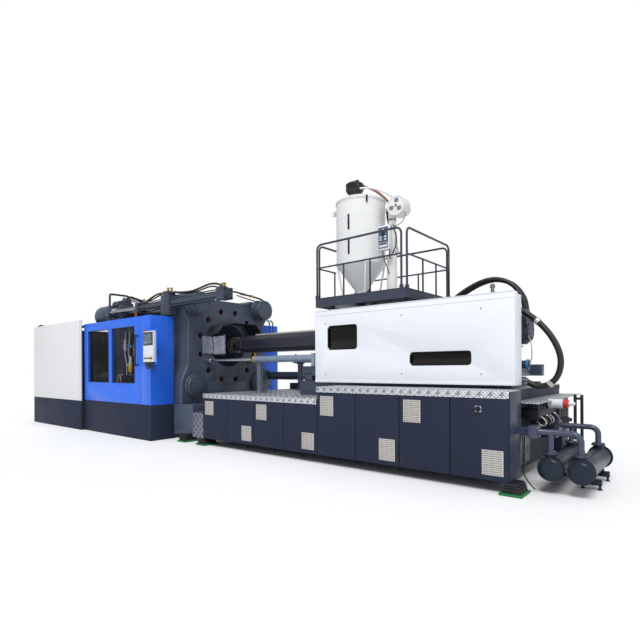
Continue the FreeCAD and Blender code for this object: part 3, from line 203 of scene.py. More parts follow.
def block(bm, x, y, z, edge=0.0):
    """Box between two x, two y and two z in mm, in either order, its edges rounded."""
    made = bmesh.ops.create_cube(bm, size=1.0)["verts"]
    low, high = place(min(x), min(y), min(z)), place(max(x), max(y), max(z))
    bmesh.ops.scale(bm, vec=high - low, verts=made)
    bmesh.ops.translate(bm, vec=(low + high) / 2, verts=made)
    if edge:
        bmesh.ops.bevel(bm, geom=list({e for v in made for e in v.link_edges}), offset=edge / 1000,
                        offset_type="OFFSET", segments=2, profile=0.5, affect="EDGES", material=-1)


def boxes(name, body, slot, material, *rows):
    """Piece built of boxes, each given as block() takes it."""
    bm = bmesh.new()
    for row in rows:
        block(bm, *row)
    return finished(bm, name, body, material)


def turned(bm, axis, origin, profile, steps=32):
    """Lathe-turned shape: profile holds (distance along the axis, radius) in mm from the origin."""
    along, across = {"x": (Vector((1, 0, 0)), Vector((0, 0, 1))),
                     "y": (Vector((0, 1, 0)), Vector((0, 0, 1))),
                     "z": (Vector((0, 0, 1)), Vector((1, 0, 0)))}[axis]
    start = place(*origin)
    others = set(bm.verts)
    line = [bm.verts.new(start + (along * a + across * r) / 1000) for a, r in profile]
    edges = [bm.edges.new(pair) for pair in zip(line, line[1:])]
    bmesh.ops.spin(bm, geom=line + edges, cent=start, axis=along, angle=2 * math.pi, steps=steps,
                   use_merge=True, use_duplicate=False)
    made = [v for v in bm.verts if v not in others]
    bmesh.ops.remove_doubles(bm, verts=made, dist=0.00001)
    made = [v for v in made if v.is_valid]
    bmesh.ops.recalc_face_normals(bm, faces=list({f for v in made for f in v.link_faces}))


def collar(bm, axis, origin, inner, outer, length, steps=32):
    """Square-edged ring round an axis, between two radii in mm."""
    profile = [(0, inner), (0, outer), (length, outer), (length, inner), (0, inner)]
    turned(bm, axis, origin, profile, steps)


def studs(bm, facing, places, radius, height, sides=6):
    """Bolt heads or nuts standing on faces that look along facing."""
    facing = Vector(facing)
    turn = facing.to_track_quat("Z", "Y").to_matrix().to_4x4()
    for point in places:
        centre = place(*point) + facing * height / 2000
        bmesh.ops.create_cone(bm, cap_ends=True, segments=sides, radius1=radius / 1000,
                              radius2=radius / 1000,
                              depth=height / 1000, matrix=Matrix.Translation(centre) @ turn)


def ring(axis, centre, radius, count, start=0.0):
    """Places in mm spaced evenly on a circle round an axis, the first turned by start degrees."""
    x, y, z = centre
    places = []
    for index in range(count):
        angle = math.radians(start + index * 360 / count)
        a, b = radius * math.cos(angle), radius * math.sin(angle)
        places.append({"x": (x, y + a, z + b), "y": (x + a, y, z + b), "z": (x + a, y + b, z)}[axis])
    return places


# enamel on sand-cast iron: blue-grey, softly mottled, with the sand's grain telegraphing through
cast_enamel = surface("enamelled_cast_iron", "#3A4454", "#4A5566", 260, 0.34, 14, 1.6, gloss=0.45)
# ground and oiled tool steel: bright with fine streaks along its length
ground_steel = surface("ground_tool_steel", "#B9BCC2", "#9A9EA6", 40, 0.24, 3, 0.05,
                       metallic=1.0, stretch=(0.05, 1, 1))

softened("clamp_bed", "clamp_bed_beams", cast_enamel, 8)

ways = bmesh.new()
for side in (-1, 1):
    y = (side * 1185, side * 1415)
    block(ways, (-6900, -1090), y, (899, 904), 1.5)
finished(ways, "hardened_ways", "base", ground_steel)

# ---------------------------------------------------------------- levelling mounts
# Cast wedge mounts: a green enamelled foot with rubber under it, a black wedge that a screw
# drives in and out, and the machine's foot on top.
foot_enamel = surface("green_enamel", "#0F5A2C", "#1D7A40", 60, 0.5, 10, 0.8)
wedge_paint = surface("blackened_steel", "#1E2024", "#2B2E33", 50, 0.5, 8, 0.5, metallic=0.4)
feet = bmesh.new()
wedges = bmesh.new()
for x, y, half in ((-6600, 1360, 120), (-4900, 1360, 120), (-2700, 1360, 120), (400, 1560, 200),
                   (1150, 1580, 200), (3500, 900, 120), (5700, 900, 120), (7870, 1580, 200)):
    for side in (-1, 1):
        mid = side * y
        block(feet, (x - 150, x + 150), (mid - half, mid + half), (0, 34), 6)
        block(wedges, (x - 120, x + 120), (mid - half + 28, mid + half - 28), (34, 62), 8)
        block(wedges, (x - 115, x + 115), (mid - half + 35, mid + half - 35), (62, 96), 4)
        block(wedges, (x - 105, x + 105), (mid - half + 42, mid + half - 42), (100, 128), 4)
        block(wedges, (x - 90, x + 90), (mid - half + 50, mid + half - 50), (132, 163), 4)
        turned(wedges, "y", (x, mid - half + 2, 80),
               [(0, 0), (0, 14), (22, 14), (22, 9), (2 * half - 26, 9), (2 * half - 26, 14),
                (2 * half - 4, 14), (2 * half - 4, 0)], 6)
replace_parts(finished(feet, "mount_feet", "base", foot_enamel), "levelling_pads")
finished(wedges, "mount_wedges", "base", wedge_paint)

# ---------------------------------------------------------------- fixed platen
# One iron casting a metre thick, machined in its bores and enamelled outside. The cored holes
# keep their red-oxide primer, and the tie-bar caps are bolted on round the corners.
softened("fixed_platen", "fixed_platen_casting", cast_enamel, 10)
softened("clamp_cylinders", "tie_bar_caps", cast_enamel, 14)
softened("tie_bars", "tie_bars_ground", ground_steel, 0)

AXIS_Z = 2320                    # height of the tie bars' centre, the barrel and the screw
primer = surface("red_oxide_primer", "#7A3A30", "#5A2D28", 80, 0.7, 8, 0.6)
bores = bmesh.new()
for spot in ring("x", (-620, 0, AXIS_Z), 920, 12, 15):
    turned(bores, "x", spot, [(0, 74.5), (0, 70), (560, 70), (560, 74.5)], 24)
finished(bores, "primed_cores", "base", primer)

TIE_PLACES = [(sy * 1080, AXIS_Z + sz * 1030) for sy in (-1, 1) for sz in (-1, 1)]
cap_screws = bmesh.new()
for y, z in TIE_PLACES:
    # the upper caps are wider and stand further out
    foot_reach, top_reach, top = (284, 235, 300) if z > AXIS_Z else (268, 205, 95)
    studs(cap_screws, (1, 0, 0), ring("x", (60, y, z), foot_reach, 16, 11.25), 13, 14)
    studs(cap_screws, (1, 0, 0), ring("x", (top, y, z), top_reach, 12), 15, 12)
finished(cap_screws, "tie_bar_cap_screws", "base", wedge_paint)

# a raised seam across the casting's front and the ribs of its lower corners
seams = bmesh.new()
block(seams, (0, 3.5), (-1268, -560), (2898, 2906), 1.5)
block(seams, (0, 3.5), (560, 1268), (2898, 2906), 1.5)
for side in (-1, 1):
    for z in (1010, 1120, 1230):
        studs(seams, (1, 0, 0), [(0, side * 640, z), (0, side * 760, z + 30)], 18, 10, 12)
finished(seams, "casting_seams", "base", cast_enamel)

# ---------------------------------------------------------------- traverse cylinders
# Two long tie-rod cylinders open and close the clamp. Drawn steel tube between square steel
# heads, held by four studs, painted with the machine.
machine_paint = surface("satin_machine_enamel", "#2E3645", "#3A4353", 180, 0.3, 6, 0.35, gloss=0.45)
softened("traverse_cylinders", "traverse_cylinder_bodies", machine_paint, 6)
softened("traverse_rods", "traverse_piston_rods", ground_steel, 3)

stud_nuts = bmesh.new()
for y, z in ((-1530, 3350), (1640, 1500)):
    for dy in (-97, 97):
        for dz in (-97, 97):
            studs(stud_nuts, (-1, 0, 0), [(-1840, y + dy, z + dz)], 21, 20)
            studs(stud_nuts, (1, 0, 0), [(1870, y + dy, z + dz)], 21, 20)
            turned(stud_nuts, "x", (-1690, y + dy, z + dz), [(0, 0), (0, 20), (26, 20), (26, 0)], 6)
            turned(stud_nuts, "x", (1562, y + dy, z + dz), [(0, 0), (0, 20), (26, 20), (26, 0)], 6)
finished(stud_nuts, "traverse_stud_nuts", "base", wedge_paint)

# ---------------------------------------------------------------- moving platen
# The moving casting slides on the ways and carries the four locking housings, the ejector and
# the lugs of the traverse rods.
softened("moving_platen", "moving_platen_casting", cast_enamel, 10)
softened("ejector_crosshead", "ejector_plate", ground_steel, 4)

lock_screws = bmesh.new()
for y, z in TIE_PLACES:
    studs(lock_screws, (-1, 0, 0), ring("x", (-4700, y, z), 285, 12, 15), 20, 16)
    studs(lock_screws, (1, 0, 0), ring("x", (-3300, y, z), 232, 12, 15), 18, 12)
for y in (-950, -700, -450, 450, 700, 950):
    for z in (1700, AXIS_Z, 2940):
        block(lock_screws, (-3300.5, -3297), (y - 14, y + 14), (z - 170, z + 170), 1)
finished(lock_screws, "lock_housing_screws", "moving_platen", wedge_paint)

# ---------------------------------------------------------------- kick panels
# Folded sheet kick panels under the guards and covers, powder coated anthracite.
anthracite = surface("anthracite_powder_coat", "#272C3C", "#2C3244", 500, 0.5, 4, 0.18, gloss=0.06)
softened("plinth_panels", "kick_panels", anthracite, 3)

# dark joints between neighbouring sheets
joint_rubber = surface("black_joint_rubber", "#0E0F11", "#17181B", 40, 0.7, 3, 0.3)
joints = bmesh.new()
block(joints, (-3797, -3773), (-2200, -2130), (4, 818), 2)
for x in (-6140, -4970):
    block(joints, (x - 2, x + 2), (-2221.5, -2218), (20, 800), 0)
for x in (-2600, -1440):
    block(joints, (x - 2, x + 2), (-2131.5, -2128), (20, 830), 0)
block(joints, (-3770, -275), (-2131, -2120), (846, 850), 0)
finished(joints, "kick_panel_joints", "base", joint_rubber)

# ---------------------------------------------------------------- clamp covers
# Big folded sheet covers round the tail of the clamp, light grey with a fine grain.
grey_coat = surface("light_grey_powder_coat", "#CDCED0", "#D6D7D9", 600, 0.5, 5, 0.2)
softened("front_clamp_cover", "front_clamp_cover_sheet", grey_coat, 6)
softened("rear_clamp_cover", "rear_clamp_cover_sheet", grey_coat, 6)

cover_trim = bmesh.new()
for side in (-1, 1):
    y = (side * 2221.5, side * 2219)
    block(cover_trim, (-3862, -3858), y, (830, 3110), 0)
    y = (side * 2222, side * 2180)
    block(cover_trim, (-7305, -3810), y, (822, 829), 1)
    turned(cover_trim, "z", (-6900, side * 2130, 3108),
           [(0, 0), (0, 96), (24, 96), (52, 76), (70, 40), (76, 0)], 24)
finished(cover_trim, "clamp_cover_trim", "base", joint_rubber)

# near-black sheets inside the covers: painted shade for the dark space deep inside the clamp covers
lining = bmesh.new()
block(lining, (-7268, -7256), (-2168, 2168), (862, 3098), 3)
for side in (-1, 1):
    block(lining, (-7254, -3850), (side * 2178, side * 2169), (862, 3098), 3)
finished(lining, "cover_painted_shade_sheets", "base",
         surface("dark_painted_shade_sheet", "#17191B", "#202326", 25, 0.9, 9, 1.5, gloss=0.1))

# ---------------------------------------------------------------- guards and gates
# Welded steel guards with sliding gates, enamelled a strong blue. Clear polycarbonate panes sit
# in rubber beads, and the gates hang from rollers on the top rail.
blue_enamel = surface("blue_enamel", "#1F5FD6", "#2A6BE2", 700, 0.34, 6, 0.12, gloss=0.35)
for side in ("front", "rear"):
    softened(side + "_guard_frame", side + "_guard_frame_welded", blue_enamel, 4)
    softened(side + "_gate", side + "_gate_leaf", blue_enamel, 4)

clear, clear_tree, clear_shader = new_material("clear_polycarbonate")
clear_shader.inputs["Base Color"].default_value = linear("#0E1216")
clear_shader.inputs["Roughness"].default_value = 0.05
clear_shader.inputs["Specular IOR Level"].default_value = 0.08
clear_shader.inputs["IOR"].default_value = 1.58
smears = add_node(clear_tree, "TexNoise", {"Scale": 6.0, "Detail": 3.0}, {
    "Vector": add_node(clear_tree, "TexCoord", {}, {}).outputs["Object"]})
haze = add_node(clear_tree, "MapRange", {"To Min": 0.16, "To Max": 0.24},
                {"Value": smears.outputs["Fac"]})
clear_tree.links.new(haze.outputs["Result"], clear_shader.inputs["Alpha"])
softened("front_gate_windows", "gate_panes", clear, 2)

PANES_X = ((-3510, -2340), (-2150, -1006))
beads = bmesh.new()
for x0, x1 in PANES_X:
    for x in (x0, x1):
        block(beads, (x - 9, x + 9), (-2134, -2126), (1361, 2779), 2)
    for z in (1370, 2770):
        block(beads, (x0 - 9, x1 + 9), (-2134, -2126), (z - 9, z + 9), 2)
finished(beads, "pane_beads", "front_gate", joint_rubber)

# rubber strips that close the gate, and the seams of the sheet at the guard's end
boxes("gate_closing_strip", "front_gate", "anthracite_panel", joint_rubber,
      ((-712, -704), (-2128, -2072), (856, 2994), 1),
      ((-3768, -3764), (-2131, -2090), (856, 2994), 0))
boxes("guard_end_seams", "base", "anthracite_panel",
      surface("blue_enamel_in_shade", "#17429A", "#1D4CAA", 300, 0.4, 6, 0.1),
      ((-276, -273.5), (-2080, -2076), (870, 2980), 0),
      ((-276, -273.5), (-1780, -1540), (2558, 2562), 0),
      ((-276, -273.5), (-2060, -1540), (1818, 1822), 0))

handle_plastic = surface("black_nylon", "#131416", "#1C1D20", 30, 0.45, 2, 0.12)
softened("front_gate_handle", "gate_pull_bar", handle_plastic, 0)
handle_feet = bmesh.new()
for z in (1815, 2525):
    block(handle_feet, (-872, -828), (-2142, -2130), (z - 30, z + 30), 3)
    turned(handle_feet, "z", (-850, -2200, z - 16),
           [(0, 0), (0, 20), (4, 22), (28, 22), (32, 20), (32, 0)], 16)
# the rubber grip over the bar
turned(handle_feet, "z", (-850, -2200, 1786), [(0, 0), (0, 19), (768, 19), (768, 0)], 12)
finished(handle_feet, "gate_pull_feet", "front_gate", handle_plastic)

# ---------------------------------------------------------------- mould area fittings
# Core-pull valves, hoses and a pressure filter stand by the mould, seen through the panes.
porcelain = surface("white_moulded_nylon", "#DADDE0", "#C6CACE", 60, 0.35, 4, 0.1)
yellow_nylon = surface("yellow_nylon", "#E6C21C", "#D8B115", 40, 0.4, 3, 0.1)
brass = surface("machined_brass", "#C39A45", "#A67F33", 20, 0.3, 3, 0.08, metallic=1.0)
orange_paint = surface("orange_enamel", "#B4532A", "#A34722", 60, 0.42, 5, 0.15)
valve_blue = surface("valve_blue_enamel", "#2F78B8", "#3B86C4", 50, 0.35, 4, 0.1)
hose_rubber = surface("black_hose_rubber", "#131315", "#1E1E20", 25, 0.5, 5, 0.5)


def swept(name, points, resolution, radius=0.0, sides=0):
    """Mesh of a smooth line drawn by points in mm, given a round section when it has a radius."""
    curve = bpy.data.curves.new(name, "CURVE")
    curve.dimensions = "3D"
    line = curve.splines.new("NURBS")
    line.points.add(len(points) - 1)
    for knot, point in zip(line.points, points):
        knot.co = (*place(*point), 1.0)
    line.order_u = 3
    line.use_endpoint_u = True
    line.resolution_u = resolution
    if radius:
        curve.bevel_depth = radius / 1000
        curve.bevel_resolution = sides // 2
        curve.use_fill_caps = True
    source = bpy.data.objects.new(name, curve)
    mesh = bpy.data.meshes.new_from_object(source)
    bpy.data.objects.remove(source)
    return mesh


def tube(name, points, radius, body, material, sides=8):
    """Pipe or hose of that radius in mm along a smooth line drawn by points."""
    mesh = swept(name, points, 10, radius, sides)
    bm = bmesh.new()
    bm.from_mesh(mesh)
    bpy.data.meshes.remove(mesh)
    bmesh.ops.remove_doubles(bm, verts=bm.verts, dist=0.00001)
    bmesh.ops.recalc_face_normals(bm, faces=bm.faces)
    return finished(bm, name, body, material)


stand = bmesh.new()
block(stand, (-2080, -2000), (-1700, -1600), (900, 2900), 5)
block(stand, (-1310, -1240), (-1700, -1600), (900, 3100), 5)
block(stand, (-2080, -1240), (-1690, -1610), (1480, 1560), 5)
block(stand, (-2080, -1240), (-1690, -1610), (2690, 2750), 5)
block(stand, (-1900, -1500), (-1790, -1690), (1500, 1620), 8)
block(stand, (-1750, -1600), (-1800, -1690), (2040, 2260), 8)
for index in range(5):
    block(stand, (-1890 + index * 80, -1835 + index * 80), (-1840, -1790), (1515, 1600), 6)
finished(stand, "valve_stand", "base", machine_paint)

valves = bmesh.new()
turned(valves, "z", (-1950, -1860, 2200),
       [(0, 0), (0, 42), (40, 42), (44, 62), (66, 62), (70, 40), (96, 40), (100, 64), (122, 64),
        (126, 40), (150, 40), (154, 62), (176, 62), (180, 38), (300, 36), (310, 0)], 24)
turned(valves, "z", (-1690, -1860, 1800),
       [(0, 0), (0, 46), (150, 46), (158, 34), (250, 34), (250, 0)], 24)
finished(valves, "filter_housings", "base", porcelain)
caps = bmesh.new()
turned(caps, "z", (-1690, -1860, 1640), [(0, 0), (0, 50), (10, 56), (150, 56), (160, 50), (160, 0)], 24)
turned(caps, "z", (-1850, -1850, 1790), [(0, 0), (0, 24), (70, 24), (70, 0)], 16)
finished(caps, "filter_bowls", "base", yellow_nylon)
boxes("valve_block", "base", "panel_plastic", valve_blue,
      ((-1790, -1590), (-1900, -1800), (2270, 2340), 5))
for index, (x, dx) in enumerate(((-1950, 40), (-1850, -30), (-1760, 50), (-1600, -40), (-1480, 30))):
    tube("mould_hose_%d" % (index + 1),
         [(x, -1850, 2700), (x + dx, -1880, 2420), (x - dx, -1870, 2150), (x + dx, -1850, 1860),
          (x, -1830, 1560)], 13, "base", hose_rubber if index % 2 else porcelain)
for name, x, radius in (("hot_oil_pipe", -1400, 17), ("hot_oil_pipe_2", -1340, 12)):
    tube(name, [(x, -1880, z) for z in (900, 1500, 2200, 3150)], radius, "base",
         orange_paint)
for index in range(4):
    x = -2330 + index * 70
    tube("coiled_hose_%d" % (index + 1),
         [(x, -1900, 1560), (x + 90, -1930, 1500), (x + 120, -1930, 1380), (x + 20, -1900, 1330),
          (x - 60, -1890, 1420), (x - 10, -1880, 1540), (x + 100, -1860, 1580)], 10, "base",
         hose_rubber if index % 2 else porcelain)

# ---------------------------------------------------------------- control panel
# Operator's panel: folded pale housing on a blue back plate, a black-framed screen over a
# membrane keypad, and the two buttons below.
panel_coat = surface("silver_powder_coat", "#C9CDD4", "#D5D8DE", 200, 0.38, 3, 0.1)
softened("control_panel", "control_panel_housing", panel_coat, 8)
boxes("screen_bezel", "base", "black_handle", handle_plastic,
      ((-405, 5), (-2238, -2228), (2268, 2578), 6))

glow, glow_tree, glow_shader = new_material("lit_display_glass")
glow_shader.inputs["Roughness"].default_value = 0.12
glow_shader.inputs["Emission Strength"].default_value = 0.12
tiles = add_node(glow_tree, "TexBrick", {
    "Scale": 10.0, "Color1": linear("#4A5C6C"), "Color2": linear("#66788A"), "Mortar": linear("#18232E"),
    "Mortar Size": 0.03, "Brick Width": 0.9, "Row Height": 0.35}, {
    "Vector": add_node(glow_tree, "Mapping", {"Rotation": (math.radians(90), 0, 0)}, {
        "Vector": add_node(glow_tree, "TexCoord", {}, {}).outputs["Object"]}).outputs["Vector"]})
glow_tree.links.new(tiles.outputs["Color"], glow_shader.inputs["Base Color"])
glow_tree.links.new(tiles.outputs["Color"], glow_shader.inputs["Emission Color"])
boxes("screen_glass", "base", "panel_plastic", glow,
      ((-368, -32), (-2240.5, -2236), (2304, 2544), 1))

keypad = bmesh.new()
block(keypad, (-396, -4), (-2232, -2228), (2010, 2256), 2)
for row in range(5):
    for column in range(9):
        x, z = -372 + column * 42, 2032 + row * 44
        block(keypad, (x, x + 30), (-2234.5, -2231), (z, z + 30), 1)
finished(keypad, "membrane_keypad", "base",
         surface("membrane_film", "#C4C8D0", "#E4E6EA", 36, 0.35, 4, 0.1))

small_parts = bmesh.new()
for x in (-360, -310, -260, -150, -110):
    turned(small_parts, "y", (x, -2246, 1965), [(0, 0), (0, 13), (4, 15), (16, 15), (16, 0)], 16)
block(small_parts, (-390, -30), (-2220, -2160), (1846, 1880), 6)
for x in (-370, -300, -240, -170, -90):
    turned(small_parts, "z", (x, -2195, 1770),
           [(0, 0), (0, 10), (30, 13), (40, 20), (80, 20), (80, 0)], 12)
block(small_parts, (15, 38), (-2160, -2130), (2030, 2170), 5)
finished(small_parts, "panel_fittings", "base", handle_plastic)
knob = bmesh.new()
turned(knob, "y", (-385, -2240, 2612),
       [(0, 0), (0, 22), (12, 26), (40, 26), (70, 18), (110, 18), (110, 0)], 20)
finished(knob, "panel_lamp", "base", orange_paint)
stop_ring = bmesh.new()
collar(stop_ring, "y", (-50, -2233, 1965), 27.5, 34, 3)
finished(stop_ring, "emergency_stop_collar", "base", yellow_nylon)
softened("emergency_stop_button", "emergency_stop_mushroom",
         surface("red_gloss_nylon", "#B3161A", "#C01D1D", 20, 0.25, 3, 0.05), 4)
softened("start_button", "start_button_cap",
         surface("green_gloss_nylon", "#1F8A45", "#269850", 20, 0.25, 3, 0.05), 2)
for index, x in enumerate((-370, -300, -240, -170, -90)):
    tube("panel_lead_%d" % (index + 1),
         [(x, -2195, 1775), (x + 10, -2195, 1730), (x + 60, -2180, 1720), (x + 70, -2150, 1750),
          (x + 60, -2136, 1800)], 8, "base", hose_rubber)
boxes("guard_latch_rail", "base", "anthracite_panel", handle_plastic,
      ((-275, -262), (-1972, -1948), (1870, 2600), 3),
      ((-275, -236), (-1985, -1935), (2030, 2170), 6))

# ---------------------------------------------------------------- injection base
# The long welded base stands on its own mounts. Its cabinets are closed by folded doors with
# pressed louvre plates. They open in pairs, hinged at the outer seams, the right-hand one latched.
softened("injection_base", "injection_base_frame", anthracite, 4)
BASE_X0, BASE_X1 = 1220, 7850    # ends of the base's frame
DOOR_PITCH = (BASE_X1 - BASE_X0) / 8
DOOR_FACE = -1730
LOUVRE_WIDTH = 290
louvre_zinc = surface("zinc_plated_louvre", "#C9C5C0", "#B5B2AF", 30, 0.42, 3, 0.1, metallic=0.2)
louvre_shade = surface("louvre_in_shade", "#77797D", "#6A6C70", 30, 0.5, 3, 0.1)
for index in range(8):
    door = "door_%d" % (index + 1)
    node = "cabinet_door_%d" % (index + 1)
    x0 = BASE_X0 + DOOR_PITCH * index + 6
    x1 = x0 + DOOR_PITCH - 12
    top = 1056 if index < 4 else 1276
    softened(node, node + "_leaf", anthracite, 4)
    right_hand = index % 2 == 1
    hinge_x = x1 - 6 if right_hand else x0 + 6
    inward = -1 if right_hand else 1
    fittings = bmesh.new()
    for z in (290, top - 120):
        block(fittings, (hinge_x + inward * 10, hinge_x + inward * 46),
              (DOOR_FACE - 2, DOOR_FACE), (z - 35, z + 35), 0.8)
        studs(fittings, (0, -1, 0), [(hinge_x + inward * 30, DOOR_FACE - 2, z + dz) for dz in (-22, 22)],
              5, 2, 8)
    for z in (top - 200, 420) if right_hand else ():
        turned(fittings, "y", (x0 + 42, DOOR_FACE - 8, z),
               [(0, 0), (0, 13), (3, 16), (8, 16), (8, 0)], 16)
        block(fittings, (x0 + 39, x0 + 45), (DOOR_FACE - 11, DOOR_FACE - 7), (z - 10, z + 10), 1)
    finished(fittings, node + "_fittings", door, handle_plastic)

    # pressed louvre plates: high on the left-hand doors, low on the right-hand ones
    plate = bmesh.new()
    height = 300 if index < 4 else 340
    px0 = x1 - 70 - LOUVRE_WIDTH if right_hand else x0 + 70
    pz0 = 240 if right_hand else top - 60 - height
    block(plate, (px0, px0 + LOUVRE_WIDTH), (DOOR_FACE - 3, DOOR_FACE), (pz0, pz0 + height), 1)
    slits = bmesh.new()
    for row in range(11):
        z = pz0 + 18 + row * (height - 40) / 10
        for column in range(3):
            x = px0 + 12 + column * 91
            block(plate, (x, x + 82), (DOOR_FACE - 9, DOOR_FACE - 2), (z + 6, z + 13), 2)
            block(slits, (x, x + 82), (DOOR_FACE - 3.8, DOOR_FACE - 2), (z - 4, z + 6))
    finished(plate, node + "_louvres", door, louvre_zinc)
    finished(slits, node + "_louvre_slits", door, louvre_shade)

seam_strip = bmesh.new()
for index in range(8):
    x = BASE_X0 + DOOR_PITCH * index
    block(seam_strip, (x - 5, x + 5), (-1702, -1700.2), (170, 1050 if index <= 4 else 1270), 0)
finished(seam_strip, "door_seals", "base", joint_rubber)
softened("isolator_handle", "isolator_rotary_handle", handle_plastic, 3)
boxes("isolator_plate", "door_8", "black_handle", louvre_zinc,
      ((7393, 7478), (DOOR_FACE - 0.4, DOOR_FACE + 2), (1088, 1172), 0))

# the folded end column, the dark recessed sheet beside it, and its cable
column = bmesh.new()
block(column, (BASE_X1, BASE_X1 + 2.5), (-1698, -1215), (170, 1368), 1)
for z in (330, 760, 1190):
    studs(column, (1, 0, 0), [(7852, -1670, z), (7852, -1250, z)], 7, 4, 8)
# the column's skin is the anthracite painted lighter, as painted light on the lit end face, and given
# more gloss
finished(column, "end_column_skin", "base",
         surface("anthracite_gloss_painted_light", "#33394B", "#3C4256", 500, 0.35, 4, 0.15, gloss=0.35))
recess_sheet = bmesh.new()
block(recess_sheet, (7700, 7716), (-1190, -300), (240, 1100), 4)
for y in (-1130, -860, -590):
    block(recess_sheet, (7716, 7724), (y, y + 12), (250, 1090), 2)
finished(recess_sheet, "end_recess_sheet", "base", machine_paint)
tube("end_cable", [(7725, -1130, 1040), (7740, -1150, 900), (7735, -1140, 820), (7860, -1180, 760),
                   (7870, -1200, 600), (7872, -1210, 400), (7880, -1230, 230), (7960, -1300, 120),
                   (8060, -1320, 40)], 9, "base", hose_rubber)

# ---------------------------------------------------------------- tread-plate decks
# Aluminium tread plate, folded down at the edges and laid over the base. The pattern is laid out
# flat: along the sheet and down over its fold, so that it runs on round the edges.
tread, tread_tree, tread_shader = new_material("aluminium_tread_plate")
tread_shader.inputs["Metallic"].default_value = 0.75
tread_where = add_node(tread_tree, "TexCoord", {}, {})
tread_split = add_node(tread_tree, "SeparateXYZ", {}, {0: tread_where.outputs["Object"]})
tread_facing = add_node(tread_tree, "SeparateXYZ", {}, {0: tread_where.outputs["Normal"]})
end_on = add_node(tread_tree, "Math", {"operation": "GREATER_THAN", 1: 0.6}, {
    0: add_node(tread_tree, "Math", {"operation": "ABSOLUTE"},
                {0: tread_facing.outputs[0]}).outputs[0]})
down_sheet = add_node(tread_tree, "Math", {"operation": "ADD"},
                      {0: tread_split.outputs[1], 1: tread_split.outputs[2]})
along_sheet = add_node(tread_tree, "Mix", {"data_type": "FLOAT"}, {
    0: end_on.outputs[0], 2: tread_split.outputs[0], 3: tread_split.outputs[1]})
tread_flat = add_node(tread_tree, "CombineXYZ", {},
                      {0: along_sheet.outputs[0], 1: down_sheet.outputs[0]})
TREAD_PITCH = 36
bars = []
for turn in (45, -45):
    spun = add_node(tread_tree, "Mapping", {"Rotation": (0, 0, math.radians(turn)),
                                            "Location": (0.013 * turn / 45, 0, 0)},
                    {"Vector": tread_flat.outputs["Vector"]})
    sheared = add_node(tread_tree, "VectorMath",
                       {"operation": "MULTIPLY", 1: (1000 / TREAD_PITCH, 1000 / TREAD_PITCH / 3, 0)},
                       {0: spun.outputs["Vector"]})
    cells = add_node(tread_tree, "TexVoronoi",
                     {"voronoi_dimensions": "2D", "Scale": 1.0, "Randomness": 0.0},
                     {"Vector": sheared.outputs["Vector"]})
    bars.append(add_node(tread_tree, "MapRange", {"From Min": 0.42, "From Max": 0.26},
                         {"Value": cells.outputs["Distance"]}))
raised = add_node(tread_tree, "Math", {"operation": "MAXIMUM"},
                  {0: bars[0].outputs["Result"], 1: bars[1].outputs["Result"]})
tread_grime = add_node(tread_tree, "TexNoise", {"Scale": 3.0, "Detail": 6.0},
                       {"Vector": tread_where.outputs["Object"]})
tread_mix = add_node(tread_tree, "Mix",
                     {"data_type": "RGBA", 6: linear("#858A92"), 7: linear("#DADDE2")},
                     {0: raised.outputs["Value"]})
tread_rough = add_node(tread_tree, "MapRange", {"To Min": 0.3, "To Max": 0.5},
                       {"Value": tread_grime.outputs["Fac"]})
tread_bump = add_node(tread_tree, "Bump", {"Strength": 1.0, "Distance": 0.003},
                      {"Height": raised.outputs["Value"]})
tread_tree.links.new(tread_mix.outputs[2], tread_shader.inputs["Base Color"])
tread_tree.links.new(tread_rough.outputs["Result"], tread_shader.inputs["Roughness"])
tread_tree.links.new(tread_bump.outputs["Normal"], tread_shader.inputs["Normal"])
softened("deck_plates", "tread_decks", tread, 3)
# the step's plate is a darker copy of the deck's tread plate: painted shade on the step
tread_in_shade = tread.copy()
tread_in_shade.name = "tread_plate_painted_shade"
for node in tread_in_shade.node_tree.nodes:
    if node.bl_idname == "ShaderNodeMix" and node.data_type == "RGBA":
        node.inputs[6].default_value = linear("#3F4550")
        node.inputs[7].default_value = linear("#8D939E")
softened("step_box", "tread_step", tread_in_shade, 3)

deck_screws = bmesh.new()
for x in range(1300, 7690, 290):
    if abs(x - 4520) > 60:       # clear of the step between the two decks
        for side in (-1, 1):
            studs(deck_screws, (0, side, 0), [(x, side * 1735.5, 1110 if x < 4500 else 1330)], 8, 4, 8)
finished(deck_screws, "deck_screws", "base", ground_steel)

# ---------------------------------------------------------------- pump sets
# Electric motors driving the hydraulic pumps, cast iron, ribbed, behind the doors.
motor_grey = surface("grey_cast_iron", "#333A48", "#3E4656", 120, 0.42, 6, 0.5, gloss=0.4)
softened("pump_motors", "pump_motor_bodies", motor_grey, 4)
ribs = bmesh.new()
for x in (2000, 3650, 5350):
    for index in range(20):
        angle = math.radians(18 * index)
        made = bmesh.ops.create_cube(ribs, size=1.0)["verts"]
        bmesh.ops.scale(ribs, vec=(0.008, 0.6, 0.03), verts=made)
        bmesh.ops.translate(ribs, vec=(0, 0, 0.235), verts=made)
        bmesh.ops.rotate(ribs, cent=(0, 0, 0), verts=made, matrix=Matrix.Rotation(angle, 3, "Y"))
        bmesh.ops.translate(ribs, vec=place(x, -980, 523), verts=made)
finished(ribs, "pump_motor_ribs", "base", motor_grey)

# ---------------------------------------------------------------- carriage and its rails
# The injection unit rides on two rails on the decks. Hydraulic pull cylinders on each side bring
# the nozzle in, and round posts carry their front ends.
softened("carriage_rails", "carriage_guide_rails", machine_paint, 5)
softened("support_posts", "pull_cylinder_posts",
         surface("post_enamel", "#4A5364", "#596375", 160, 0.3, 5, 0.25, gloss=0.5), 5)
softened("pull_rods", "pull_rods_chromed", ground_steel, 3)
softened("pull_cylinders", "pull_cylinder_tubes",
         surface("honed_cylinder_enamel", "#6F7F95", "#8796AC", 160, 0.26, 5, 0.2, gloss=0.6), 5)
softened("carriage_frame", "carriage_beams", machine_paint, 8)

